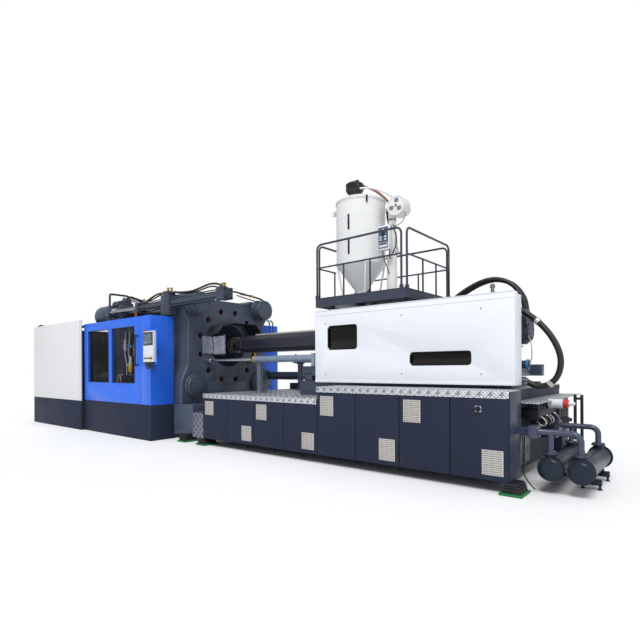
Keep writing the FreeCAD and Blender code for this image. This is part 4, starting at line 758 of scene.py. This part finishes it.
rail_tops = bmesh.new()
for side in (-1, 1):
    y = (side * 690, side * 810)
    block(rail_tops, (3340, 7590), y, (1444, 1450.2), 1)
finished(rail_tops, "carriage_ways", "base", ground_steel)

carriage_bolts = bmesh.new()
for side in (-1, 1):
    outer = side * 830
    for x in (3480, 3560, 3620, 6540, 6620, 6660):
        studs(carriage_bolts, (0, side, 0), [(x, outer, 1600)], 16, 12)
    for x in range(3500, 7600, 400):
        studs(carriage_bolts, (0, side, 0), [(x, outer, 1700)], 12, 9)
finished(carriage_bolts, "carriage_bolts", "carriage", wedge_paint)

rod_ends = bmesh.new()
for side in (-1, 1):
    turned(rod_ends, "x", (60, side * 700, 1920),
           [(0, 0), (0, 58), (24, 68), (60, 72), (96, 68), (120, 54), (120, 36), (210, 36), (210, 0)],
           24)
finished(rod_ends, "pull_rod_ball_ends", "base", ground_steel)
glands = bmesh.new()
for side in (-1, 1):
    turned(glands, "x", (1742, side * 700, 1920),
           [(0, 36), (0, 80), (10, 86), (60, 86), (70, 80), (70, 36), (0, 36)], 24)
    turned(glands, "z", (1800, side * 700, 1990),
           [(0, 0), (0, 26), (40, 26), (44, 18), (90, 18), (90, 0)], 12)
finished(glands, "pull_cylinder_glands", "carriage", brass)

# ---------------------------------------------------------------- barrel and screw
# Nitrided steel barrel with clamped heater bands under a folded, ribbed sheet guard.
softened("barrel", "barrel_forging", ground_steel, 4)
softened("screw", "screw_shaft", ground_steel, 1)
guard_sheet = surface("burnished_guard_sheet", "#34343E", "#4A4B56", 240, 0.34, 30, 0.4,
                      metallic=0.6, stretch=(0.1, 1, 1))
softened("barrel_guard", "barrel_guard_sheet", guard_sheet, 4)

bands = bmesh.new()
for x in (120, 230, 340):
    collar(bands, "x", (x, 0, AXIS_Z), 186, 196, 80, 40)
    block(bands, (x + 14, x + 66), (-30, 30), (2512, 2536), 4)
finished(bands, "heater_bands", "carriage",
         surface("mica_heater_band", "#8A8479", "#6E685E", 60, 0.4, 6, 0.2, metallic=0.8))

guard_ribs = bmesh.new()
for side in (-1, 1):
    y = (side * 299, side * 306)
    for index in range(7):
        z = 2252 + index * 23
        block(guard_ribs, (900, 3925), y, (z, z + 9), 2)
    for x in (832, 1840, 2850):
        block(guard_ribs, (x, x + 34), (side * 299, side * 309), (2212, 2428), 3)
for index in range(6):
    y = -190 + index * 72
    block(guard_ribs, (900, 3925), (y, y + 18), (2519, 2527), 2)
finished(guard_ribs, "barrel_guard_ribs", "carriage", guard_sheet)
strip = bmesh.new()
for side in (-1, 1):
    block(strip, (814, 834), (side * 300, side * 311), (2206, 2434), 2)
finished(strip, "barrel_guard_copper_strip", "carriage",
         surface("copper_strip", "#B8805A", "#9A6544", 30, 0.35, 4, 0.1, metallic=1.0))

# cable tray over the guard, and the wires it carries
tray = bmesh.new()
block(tray, (900, 3990), (150, 330), (2540, 2546), 1)
for y in (150, 325):
    block(tray, (900, 3990), (y, y + 5), (2546, 2600), 1)
for x in (1000, 2000, 3000, 3900):
    block(tray, (x, x + 30), (200, 280), (2516, 2541), 2)
finished(tray, "cable_tray", "carriage", louvre_zinc)
for index in range(5):
    y = 175 + index * 30
    tube("tray_cable_%d" % (index + 1),
         [(300 + 40 * index, 60, 2520), (600, y - 30, 2580), (950, y, 2562), (2400, y, 2562),
          (3980, y, 2562)], 9, "carriage", hose_rubber)

# ---------------------------------------------------------------- injection drive
# Feed housing, injection cylinders, crosshead and the hydraulic motor that turns the screw.
softened("injection_cylinders", "feed_housing", machine_paint, 10)
softened("ram_crosshead", "crosshead_plate", machine_paint, 8)
softened("drive_motor", "drive_motor_casting", motor_grey, 8)

drive_bolts = bmesh.new()
studs(drive_bolts, (1, 0, 0), ring("x", (7600, 0, AXIS_Z), 212, 12), 14, 12)
studs(drive_bolts, (1, 0, 0), ring("x", (7660, 0, AXIS_Z), 150, 12), 12, 10)
for side in (-1, 1):
    for z in (1850, 2150, 2490, 2600):
        studs(drive_bolts, (1, 0, 0), [(7300, side * 480, z)], 22, 16)
    turned(drive_bolts, "x", (7300, side * 380, AXIS_Z),
           [(0, 0), (0, 96), (36, 96), (36, 60), (90, 56), (90, 0)], 24)
finished(drive_bolts, "drive_bolts", "carriage", wedge_paint)

motor_ribs = bmesh.new()
for index in range(5):
    turned(motor_ribs, "x", (7350 + index * 52, 0, AXIS_Z),
           [(0, 230), (4, 246), (18, 246), (22, 230), (0, 230)], 40)
for z in (2050, 2150):
    block(motor_ribs, (7302, 7420), (-430, 430), (z, z + 18), 3)
turned(motor_ribs, "x", (7420, -170, 1745),
       [(0, 0), (0, 66), (220, 66), (220, 78), (250, 78), (250, 40), (270, 40), (270, 0)], 28)
finished(motor_ribs, "drive_motor_ribs", "carriage", motor_grey)
flange = bmesh.new()
collar(flange, "x", (7640, -170, 1745), 70, 84, 34, 28)
finished(flange, "transducer_flange", "carriage", valve_blue)

# ---------------------------------------------------------------- injection covers
# White folded covers bolted to brackets off the carriage, with dark tinted sight windows in
# rubber and a bevelled band along the top and the foot.
white_coat = surface("cool_white_powder_coat", "#DDE1E9", "#E4E8EF", 700, 0.42, 5, 0.15)
for side in ("front", "rear"):
    softened(side + "_injection_cover", side + "_injection_cover_sheet", white_coat, 5)
tint = surface("tinted_acrylic", "#0B0B08", "#12120C", 200, 0.14, 40, 0.1, gloss=0.25)
window_glass = bmesh.new()
window_bead = bmesh.new()
cover_bands = bmesh.new()
cover_screws = bmesh.new()
for side in (-1, 1):
    outer, inner = side * 1050, side * 1020
    cover_end = 7718 if side < 0 else 7048
    for x0, x1, z0, z1 in ((4250, 4930, 2060, 2510), (6020, 7070, 1745, 1960))[:1 if side > 0 else 2]:
        block(window_glass, (x0 - 6, x1 + 6), (side * 1019, side * 1012), (z0 - 6, z1 + 6), 1)
        for x in (x0, x1):
            block(window_bead, (x - 7, x + 7), (side * 1053, inner), (z0 + 40, z1 - 40), 2)
        for z in (z0, z1):
            block(window_bead, (x0 + 40, x1 - 40), (side * 1053, inner), (z - 7, z + 7), 2)
    block(cover_bands, (3932, cover_end), (side * 1056, outer), (2724, 2732), 1.5)
    block(cover_bands, (3932, cover_end), (side * 1058, outer), (1433, 1482), 3)
    block(cover_bands, (3932, cover_end), (side * 1060, side * 1030), (2816, 2824), 2)
    for x, z in ((4190, 2560), (4190, 1590), (5860, 1600), (cover_end - 490, 1600), (5860, 2600),
                 (cover_end - 490, 2600)):
        studs(cover_screws, (0, side, 0), [(x, outer, z)], 10, 5, 12)
finished(window_glass, "sight_windows", "carriage", tint)
finished(window_bead, "sight_window_beads", "carriage", joint_rubber)
finished(cover_bands, "injection_cover_bands", "carriage", white_coat)
finished(cover_screws, "injection_cover_screws", "carriage", handle_plastic)

# ---------------------------------------------------------------- platform
# Channel-section platform with a tread-plate floor and bent tube guard rails on socket feet.
platform_coat = surface("blue_grey_enamel", "#333947", "#3B4252", 250, 0.36, 5, 0.2, gloss=0.35)
softened("platform", "platform_channels", platform_coat, 4)
softened("platform_rails", "platform_guard_rails", platform_coat, 0, 60)
boxes("platform_tread_floor", "carriage", "tread_plate", tread,
      ((3942, 5838), (-908, 868), (2961, 2965), 1))
channel_lips = bmesh.new()
for z in (2910, 3076):
    block(channel_lips, (3874, 5906), (-976, -958), (z, z + 14), 3)
    block(channel_lips, (3874, 5906), (918, 936), (z, z + 14), 3)
    block(channel_lips, (3874, 3892), (-976, 936), (z, z + 14), 3)
    block(channel_lips, (5888, 5906), (-976, 936), (z, z + 14), 3)
for x, y in ((3905, -945), (5805, -945), (5875, -875), (5875, 835), (5805, 905), (3905, 905)):
    turned(channel_lips, "z", (x, y, 3090), [(0, 22), (0, 38), (50, 38), (60, 30), (60, 22)], 20)
    studs(channel_lips, (0, 0, 1), [(x + dx, y + dy, 3090) for dx, dy in ((-30, 0), (30, 0))], 8, 6)
finished(channel_lips, "platform_edges", "carriage", platform_coat)

# ---------------------------------------------------------------- hopper dryer
# White enamelled sheet hopper with two sight slots and a domed lid held by toggle latches, on
# four struts. A black vacuum loader stands on the lid.
HOPPER_X = 4310
LOADER_X = 4160
hopper_enamel = surface("white_stove_enamel", "#E3E4E5", "#DADCDD", 500, 0.3, 8, 0.15)
for node in ("dryer_hopper", "hopper_cone", "hopper_throat", "hopper_lid", "hopper_stand"):
    softened(node, node + "_sheet", hopper_enamel, 0, 30)
hoops = bmesh.new()
for z, grow in ((3826, 6), (4300, 3), (4740, 3), (5088, 8)):
    collar(hoops, "z", (HOPPER_X, 0, z), 508, 510 + grow, 18, 64)
studs(hoops, (0, 0, 1), ring("z", (HOPPER_X, 0, 5146), 517, 16, 8), 8, 6)
finished(hoops, "hopper_hoops", "carriage", hopper_enamel)

slots = bmesh.new()
x, y, _ = ring("z", (HOPPER_X, 0, 0), 511, 1, -84)[0]
for z0, z1 in ((4480, 4790), (3990, 4290)):
    block(slots, (x - 22, x + 22), (y - 6, y + 12), (z0, z1), 5)
for turn in (-42, 60, 170):
    x, y, _ = ring("z", (HOPPER_X, 0, 0), 528, 1, turn)[0]
    block(slots, (x - 14, x + 14), (y - 14, y + 14), (5000, 5140), 4)
finished(slots, "hopper_sight_slots", "carriage", handle_plastic)
lugs = bmesh.new()
for turn in (-150, 30, 150):
    x, y, _ = ring("z", (HOPPER_X, 0, 0), 560, 1, turn)[0]
    block(lugs, (x - 30, x + 30), (y - 40, y + 40), (4900, 5010), 8)
finished(lugs, "hopper_lifting_lugs", "carriage", hopper_enamel)
gloss_black = surface("gloss_black_enamel", "#101114", "#1B1C20", 40, 0.2, 6, 0.3)
loader = bmesh.new()
turned(loader, "z", (LOADER_X, 0, 5207),
       [(0, 0), (0, 84), (18, 84), (22, 74), (60, 78), (190, 150), (206, 172), (232, 180), (250, 190),
        (268, 190), (276, 182), (340, 182), (350, 190), (366, 188), (392, 150), (404, 90), (404, 0)], 40)
for x, y, _ in ring("z", (LOADER_X, 0, 0), 176, 8):
    block(loader, (x - 9, x + 9), (y - 9, y + 9), (5440, 5560), 4)
for dx, dy, tall in ((-85, -30, 40), (85, -30, 40), (0, 60, 34), (20, -60, 26)):
    turned(loader, "z", (LOADER_X + dx, dy, 5560),
           [(0, 0), (0, 44), (32 + tall, 44), (44 + tall, 30), (44 + tall, 0)], 16)
turned(loader, "x", (4330, 0, 5470), [(0, 0), (0, 46), (60, 42), (90, 34), (90, 0)], 20)
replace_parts(finished(loader, "vacuum_loader_head", "carriage", gloss_black),
            "hopper_loader")

# ---------------------------------------------------------------- dryer blower and controls
# White heater tube with the blower scroll on its neck, and the dryer's own control box.
SCROLL_X, SCROLL_Z = 5235, 4860
softened("dryer_blower", "dryer_heater_and_scroll", hopper_enamel, 8)
softened("dryer_box", "dryer_control_box", hopper_enamel, 8)
scroll_parts = bmesh.new()
for x, _, z in ring("y", (SCROLL_X, 0, SCROLL_Z), 100, 3, 80):
    block(scroll_parts, (x - 40, x + 40), (-156, -149), (z - 34, z + 34), 12)
turned(scroll_parts, "y", (SCROLL_X, -156, SCROLL_Z), [(0, 0), (0, 26), (6, 28), (6, 0)], 20)
block(scroll_parts, (5040, 5090), (-70, 70), (4630, 4660), 4)
for z in (3935, 4520, 4640):
    collar(scroll_parts, "z", (5055, 0, z), 60, 74 if z > 4000 else 104, 14, 28)
finished(scroll_parts, "blower_vents", "carriage", louvre_shade)
scroll_rims = bmesh.new()
turned(scroll_rims, "y", (SCROLL_X, -158, SCROLL_Z),
       [(0, 172), (0, 191), (22, 193), (22, 172), (0, 172)], 48)
turned(scroll_rims, "y", (SCROLL_X, 76, SCROLL_Z),
       [(0, 172), (0, 193), (20, 191), (20, 172), (0, 172)], 48)
collar(scroll_rims, "y", (SCROLL_X, -152, SCROLL_Z), 38, 52, 8, 28)
finished(scroll_rims, "blower_rims", "carriage", hopper_enamel)
boxes("dryer_control_face", "carriage", "panel_plastic",
      surface("slate_blue_membrane", "#3F516E", "#4A5D7B", 40, 0.35, 3, 0.1),
      ((4950, 5170), (-333, -329), (4020, 4430), 2))
keys = bmesh.new()
for x, z in ((5060, 4380), (5000, 4240), (5110, 4240), (5000, 4190), (5110, 4190)):
    block(keys, (x - 22, x + 22), (-337, -332), (z - 16, z + 16), 2)
block(keys, (4965, 5155), (-337, -332), (4040, 4130), 2)
for index in range(4):
    block(keys, (4975 + index * 46, 5009 + index * 46), (-340, -336), (4052, 4078), 2)
finished(keys, "dryer_control_keys", "carriage", panel_coat)
boxes("dryer_control_display", "carriage", "black_handle", handle_plastic,
      ((5020, 5095), (-336, -332), (4270, 4345), 2),
      ((4975, 5145), (-341, -336), (4090, 4120), 2))

# ribbed hoses: the return-air hose is brown down to its coupling and white below it
hose_brown = surface("brown_ducting", "#8E5F50", "#A87463", 30, 0.5, 6, 0.4)


def ribbed(name, points, radius, pitch, body, material):
    """Corrugated hose: rings of that pitch in mm along a smooth line through space."""
    mesh = swept(name, points, 24)
    path = [v.co.copy() for v in mesh.vertices]
    bpy.data.meshes.remove(mesh)
    bm = bmesh.new()
    gone = 0.0
    rings = []
    last = path[0]
    for here in path[1:]:
        while gone + (here - last).length >= pitch / 2000:
            step = here - last
            last = last + step.normalized() * (pitch / 2000 - gone)
            gone = 0.0
            rings.append((last.copy(), step.normalized()))
        gone += (here - last).length
        last = here
    before = None
    for index, (centre, along) in enumerate(rings):
        size = radius * (1.0 if index % 2 else 0.86) / 1000
        turn = along.to_track_quat("Z", "Y").to_matrix().to_4x4()
        made = bmesh.ops.create_circle(bm, cap_ends=index in (0, len(rings) - 1), segments=16,
                                       radius=size, matrix=Matrix.Translation(centre) @ turn)
        edges = list({e for v in made["verts"] for e in v.link_edges})
        if before:
            bmesh.ops.bridge_loops(bm, edges=before + edges)
        before = edges
    bmesh.ops.recalc_face_normals(bm, faces=bm.faces)
    return finished(bm, name, body, material, 60)


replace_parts(ribbed("return_air_hose",
                   [(4400, 0, 5475), (4500, 60, 5450), (4640, 240, 5340), (4760, 420, 5170),
                    (4810, 530, 4920), (4820, 545, 4800)], 28, 14, "carriage",
                   hose_brown), "dryer_hoses")
ribbed("return_air_hose_lower",
       [(4820, 545, 4806), (4820, 542, 4600), (4880, 480, 4250), (5010, 330, 4070), (5055, 220, 4050),
        (5055, 90, 4050)], 28, 14, "carriage", hopper_enamel)
ribbed("loader_feed_hose", [(4330, -60, 5440), (4480, -40, 5430), (4700, 60, 5370), (4900, 110, 5240),
                            (5060, 110, 5110), (5150, 90, 5040)], 22, 12, "carriage",
       hopper_enamel)
ribbed("flexible_duct", [(5000, 60, 4560), (4930, 90, 4700), (4910, 110, 4880), (4960, 130, 5010),
                         (5080, 110, 5030)], 46, 24, "carriage", wedge_paint)
for index, points in enumerate((
        [(5180, -250, 4430), (5260, -240, 4380), (5300, -230, 4200), (5280, -230, 4020),
         (5200, -220, 3920)],
        [(5160, -250, 3990), (5150, -240, 3900), (5110, -180, 3880), (5080, -105, 3860)],
        [(5000, -260, 3990), (5010, -250, 3860), (5060, -200, 3700), (5055, -105, 3560)],
        [(5375, -40, 4740), (5400, -60, 4640), (5330, -120, 4480), (5190, -220, 4420)])):
    tube("dryer_lead_%d" % (index + 1), points, (12, 10, 9, 7)[index], "carriage",
         hose_rubber)

# ---------------------------------------------------------------- nozzle hood and shield
# Folded sheet hood over the nozzle, black inside, with a bright stainless purge shield.
softened("purge_guard", "purge_hood_sheets",
         surface("black_stove_enamel", "#23262A", "#30343A", 120, 0.4, 8, 0.3), 1)
# bright steel whose light and dark patches are drawn out into vertical streaks: painted reflection
# streaks of the crinkled sheet's shine
stainless = surface("crinkled_stainless_painted_sheen", "#DDE0E8", "#9EA2B0", 70, 0.28, 60, 3.5,
                    metallic=0.95, stretch=(1, 1, 0.2))
shield = bmesh.new()
bmesh.ops.create_grid(shield, x_segments=34, y_segments=12, size=0.5)
bmesh.ops.scale(shield, vec=(0.5, 0.46, 1), verts=shield.verts)
bmesh.ops.rotate(shield, cent=(0, 0, 0), matrix=Matrix.Rotation(math.pi / 2, 3, "X"), verts=shield.verts)
for v in shield.verts:
    v.co.y += 0.010 * math.sin(v.co.x * 75) + 0.004 * math.sin(v.co.z * 40 + v.co.x * 60)
bmesh.ops.translate(shield, vec=place(240, -512, AXIS_Z), verts=shield.verts)
bmesh.ops.solidify(shield, geom=shield.faces, thickness=0.003)
finished(shield, "purge_shield_skin", "base", stainless)
foil = bmesh.new()
bmesh.ops.create_grid(foil, x_segments=26, y_segments=24, size=0.5)
bmesh.ops.scale(foil, vec=(0.36, 0.44, 1), verts=foil.verts)
for axis in "XZ":
    bmesh.ops.rotate(foil, cent=(0, 0, 0), matrix=Matrix.Rotation(math.pi / 2, 3, axis),
                     verts=foil.verts)
for v in foil.verts:
    v.co.x += 0.006 * math.sin(v.co.y * 60 + v.co.z * 9) + 0.003 * math.sin(v.co.z * 55 + v.co.y * 40)
bmesh.ops.translate(foil, vec=place(22, -690, AXIS_Z), verts=foil.verts)
bmesh.ops.solidify(foil, geom=foil.faces, thickness=0.003)
finished(foil, "purge_foil_sheet", "base", stainless)
recess_lining = bmesh.new()
turned(recess_lining, "x", (-612, 0, AXIS_Z), [(0, 262), (4, 256), (612, 550), (612, 557)], 64)
finished(recess_lining, "nozzle_recess_skin", "base", machine_paint)

# ---------------------------------------------------------------- hydraulics on the clamp
# Black rubber pressure hoses with brass ends, run over the upper traverse cylinder, the pipes
# to the tie-bar caps, and the bent steel pipe and valves on top of the moving platen.
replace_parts(tube("left_clamp_hose",
                 [(-525, -1530, 3600), (-760, -1530, 3642), (-1040, -1510, 3624), (-1330, -1500, 3560),
                  (-1640, -1500, 3470)], 23, "base", hose_rubber), "clamp_pipework")
tube("left_clamp_hose_2", [(-525, -1590, 3610), (-760, -1595, 3560), (-1040, -1600, 3500),
                           (-1280, -1600, 3470), (-1500, -1590, 3465)], 18, "base",
     hose_rubber)
tube("right_clamp_hose", [(-295, -1530, 3600), (-60, -1530, 3582), (240, -1520, 3552),
                          (560, -1520, 3545), (880, -1530, 3582), (1180, -1530, 3632),
                          (1440, -1530, 3620), (1660, -1530, 3545), (1660, -1530, 3475)], 23, "base",
     hose_rubber)
tube("right_clamp_hose_2", [(-295, -1470, 3610), (0, -1460, 3560), (400, -1460, 3520),
                            (800, -1470, 3545), (1150, -1480, 3590), (1400, -1480, 3560),
                            (1600, -1480, 3475)], 17, "base", hose_rubber)
boxes("clamp_hose_manifolds", "base", "dark_cylinder", machine_paint,
      ((-520, -300), (-1640, -1420), (3540, 3640), 8),
      ((1600, 1740), (-1600, -1440), (3475, 3520), 6),
      ((-1740, -1580), (-1590, -1440), (3475, 3500), 6))
hose_ends = bmesh.new()
HEX_END = [(0, 0), (0, 30), (34, 30), (36, 24), (70, 24), (72, 30), (96, 30), (96, 0)]
for x, y, z in ((-620, -1530, 3602), (-616, -1590, 3612), (-300, -1530, 3600), (-300, -1470, 3610)):
    turned(hose_ends, "x", (x, y, z), HEX_END, 12)
for x, y, z in ((-1640, -1500, 3478), (1660, -1530, 3500), (-450, -1530, 3640), (-380, -1480, 3640),
                (1690, -1480, 3515)):
    turned(hose_ends, "z", (x, y, z), HEX_END, 12)
finished(hose_ends, "clamp_hose_ends", "base", brass)
tube("cap_pipe", [(1590, -1420, 3390), (1500, -1250, 3420), (900, -700, 3560), (330, -90, 3742),
                  (240, 320, 3715), (230, 700, 3690), (230, 1000, 3655), (240, 1080, 3600)], 24, "base",
     wedge_paint)
tube("cap_pipe_2", [(60, 240, 3700), (120, 500, 3640), (160, 760, 3600), (200, 900, 3560)], 16, "base",
     hose_rubber)
for index, y in enumerate((1200, 1330)):
    tube("cap_drop_pipe_%d" % (index + 1),
         [(240, y - 30, 3080), (300, y, 3060), (330, y + 10, 2960), (330, y + 10, 2700),
          (330, y + 10, 2300)], 20, "base", machine_paint)
cap_ends = bmesh.new()
for x, y, z in ((232, 250, 3722), (230, 560, 3700)):
    turned(cap_ends, "y", (x, y, z),
           [(0, 0), (0, 34), (40, 34), (44, 28), (80, 28), (84, 34), (110, 34), (110, 0)], 12)
finished(cap_ends, "cap_pipe_unions", "base", brass)

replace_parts(tube("platen_loop_pipe",
                 [(-3700, -1330, 3180), (-3700, -1395, 3180), (-3700, -1420, 3205), (-3700, -1420, 3560),
                  (-3700, -1420, 3915), (-3700, -1395, 3940), (-3700, -1130, 3940), (-3700, -865, 3940),
                  (-3700, -840, 3915), (-3700, -840, 3760), (-3700, -840, 3605)], 30, "moving_platen",
                 machine_paint), "platen_pipework")
platen_valves = bmesh.new()
block(platen_valves, (-3640, -3370), (-1150, -860), (3600, 3680), 8)
block(platen_valves, (-3600, -3400), (-1120, -900), (3680, 3790), 8)
block(platen_valves, (-3560, -3420), (-440, -320), (3450, 3560), 6)
turned(platen_valves, "x", (-3650, -1270, 3620),
       [(0, 0), (0, 92), (14, 106), (286, 106), (300, 92), (300, 0)], 32)
for y in (-1090, -1010, -930):
    turned(platen_valves, "z", (-3500, y, 3790), [(0, 0), (0, 30), (56, 30), (60, 22), (66, 0)], 16)
finished(platen_valves, "platen_valve_bank", "moving_platen", machine_paint)
platen_brass = bmesh.new()
turned(platen_brass, "x", (-3760, -1010, 3720),
       [(0, 0), (0, 24), (30, 24), (34, 34), (70, 34), (74, 26), (160, 26), (160, 0)], 12)
turned(platen_brass, "z", (-3560, 60, 3470), HEX_END, 12)
turned(platen_brass, "z", (-3560, 180, 3470), HEX_END, 12)
finished(platen_brass, "platen_brass_fittings", "moving_platen", brass)
for index in range(7):
    y = -1060 + index * 50
    tube("platen_hose_%d" % (index + 1),
         [(-3500 + 18 * index, y, 3720), (-3480 + 20 * index, y + 60, 3880 - 8 * index),
          (-3440, y + 220, 3900 - 14 * index), (-3430, y + 420, 3780), (-3480, y + 560, 3640),
          (-3560, y + 640, 3480)], 17, "moving_platen", hose_rubber)

# ---------------------------------------------------------------- oil coolers
# Two shell-and-tube oil coolers on feet by the end of the base, piped in welded steel tube with
# bolted flanges.
cooler_enamel = surface("gloss_cooler_enamel", "#1B2330", "#242D3A", 160, 0.3, 6, 0.3, gloss=0.2)
softened("oil_coolers", "oil_cooler_shells", cooler_enamel, 8)
softened("cooler_pipework", "cooler_pipes_and_blocks",
         surface("steel_pipe_enamel", "#363D50", "#414960", 160, 0.3, 5, 0.2, gloss=0.5), 4)
cooler_parts = bmesh.new()
for x in (8260, 8620):
    turned(cooler_parts, "y", (x, -1390, 350), [(0, 0), (0, 138), (-14, 128), (-24, 96), (-28, 0)], 40)
    turned(cooler_parts, "y", (x, 100, 350), [(0, 0), (0, 138), (14, 128), (24, 96), (28, 0)], 40)
    for y in (-1335, 35):
        collar(cooler_parts, "y", (x, y, 350), 144, 170, 16, 40)
    for y in (-700, -40)[1 if x < 8400 else 0:]:
        for side in (-105, 105):
            turned(cooler_parts, "z", (x + side, y + 40, 0),
                   [(0, 0), (0, 34), (8, 34), (14, 17), (14, 0)], 20)
for x, y in ((8260, -1330), (8620, -1330), (8260, -100), (8620, -100)):
    studs(cooler_parts, (0, 0, 1), ring("z", (x, y, 565), 66, 6, 20), 10, 12)
    collar(cooler_parts, "z", (x, y, 536), 40, 92, 14, 28)
finished(cooler_parts, "cooler_flanges_and_feet", "base", cooler_enamel)

# valves, filter and frame on the tail of the base
tail_frame = bmesh.new()
for x, y in ((8140, 700), (8240, 700)):
    block(tail_frame, (x, x + 44), (y - 20, y + 20), (480, 1235), 4)
block(tail_frame, (8140, 8284), (685, 715), (1150, 1190), 4)
block(tail_frame, (8140, 8284), (685, 715), (500, 540), 4)
block(tail_frame, (7700, 8000), (-900, 60), (940, 1080), 8)
for index in range(3):
    block(tail_frame, (7800 + 8 * index, 7990),
          (-860 + index * 150, -770 + index * 150), (1080, 1170), 6)
block(tail_frame, (7860, 8014), (-440, -360), (1085, 1200), 8)
for index in range(4):
    block(tail_frame, (8000, 8040), (150 + index * 180, 270 + index * 180), (640, 1060), 6)
for index in range(3):
    turned(tail_frame, "x", (8000, 200 + 200 * index, 820),
           [(0, 0), (0, 44), (90, 44), (94, 30), (130, 30), (130, 0)], 16)
finished(tail_frame, "tail_valve_frame", "base", wedge_paint)
filter_body = bmesh.new()
turned(filter_body, "x", (8010, -400, 1152),
       [(0, 0), (0, 62), (10, 70), (200, 70), (210, 62), (210, 0)], 32)
turned(filter_body, "x", (8290, -400, 1158), [(0, 0), (0, 34), (70, 30), (84, 20), (84, 0)], 28)
finished(filter_body, "return_filter", "base", porcelain)
red_nylon = surface("red_nylon", "#B5242B", "#C22D33", 30, 0.35, 3, 0.08)
filter_cap = bmesh.new()
turned(filter_cap, "x", (8219, -400, 1155), [(0, 0), (0, 62), (8, 70), (60, 68), (74, 52), (74, 0)], 32)
turned(filter_cap, "x", (7830, -620, 1020), [(0, 0), (0, 22), (30, 22), (30, 0)], 16)
finished(filter_cap, "return_filter_cap", "base", red_nylon)
for index in range(6):
    y = -760 + 150 * index
    tube("tail_hose_%d" % (index + 1),
         [(7960, y, 1000), (8040, y - 10, 960), (8070, y + 20, 880), (8020, y + 50, 830),
          (7960, y + 40, 860), (7930, y + 60, 900)], 12, "base",
         (louvre_zinc, hose_rubber, ground_steel)[index % 3])

# ---------------------------------------------------------------- drive hoses
# Two arched pressure hoses from the cylinders' ports to the motor, and the big return hose from
# the motor round to the manifold under it, clamped at two places.
for index, y in enumerate((-60, 60)):
    arch = tube("drive_arch_hose_%d" % (index + 1),
                [(6050, y, 2470), (6150, y, 2700), (6320, y, 2900), (6560, y, 3060), (6860, y, 3190),
                 (7120, y, 3215), (7370, y, 3110), (7530, y, 2900), (7585, y, 2700), (7585, y, 2520)],
                38, "carriage", hose_rubber, 16)
    if index == 0:
        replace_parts(arch, "drive_hoses")
tube("drive_return_hose", [(7300, -350, 2590), (7430, -350, 2650), (7560, -350, 2640),
                           (7720, -350, 2530), (7900, -350, 2370), (8080, -350, 2130),
                           (8190, -350, 1840), (8150, -350, 1570), (8010, -350, 1420),
                           (7820, -350, 1400), (7730, -350, 1460), (7650, -350, 1480)], 45, "carriage",
     hose_rubber, 16)
hose_fittings = bmesh.new()
for y in (-60, 60):
    turned(hose_fittings, "z", (6050, y, 2470),
           [(0, 0), (0, 60), (26, 60), (28, 48), (50, 48), (50, 0)], 20)
    turned(hose_fittings, "z", (7585, y, 2520),
           [(0, 0), (0, 60), (26, 60), (28, 48), (120, 46), (124, 40), (124, 0)], 20)
turned(hose_fittings, "x", (7652, -350, 1480),
       [(0, 0), (0, 64), (24, 64), (26, 54), (60, 52), (60, 0)], 20)
turned(hose_fittings, "z", (7040, 0, 2985),
       [(0, 0), (0, 40), (20, 40), (22, 30), (80, 30), (84, 44), (130, 44), (134, 30),
        (150, 30), (150, 0)], 20)
finished(hose_fittings, "drive_hose_flanges", "carriage", ground_steel)
clips = bmesh.new()
for x, z, turn_deg in ((7850, 2414, -42), (8035, 1448, -137)):
    made = bmesh.ops.create_cone(clips, cap_ends=True, segments=20, radius1=0.055, radius2=0.055,
                                 depth=0.06)["verts"]
    bmesh.ops.rotate(clips, cent=(0, 0, 0), matrix=Matrix.Rotation(math.radians(90 - turn_deg), 3, "Y"),
                     verts=made)
    bmesh.ops.translate(clips, vec=place(x, -350, z), verts=made)
finished(clips, "hose_clips", "carriage", louvre_zinc)
tube("motor_cable", [(7560, -60, 2300), (7680, -160, 2200), (7740, -240, 2000), (7730, -220, 1800),
                     (7670, -180, 1745)], 9, "carriage", louvre_zinc)
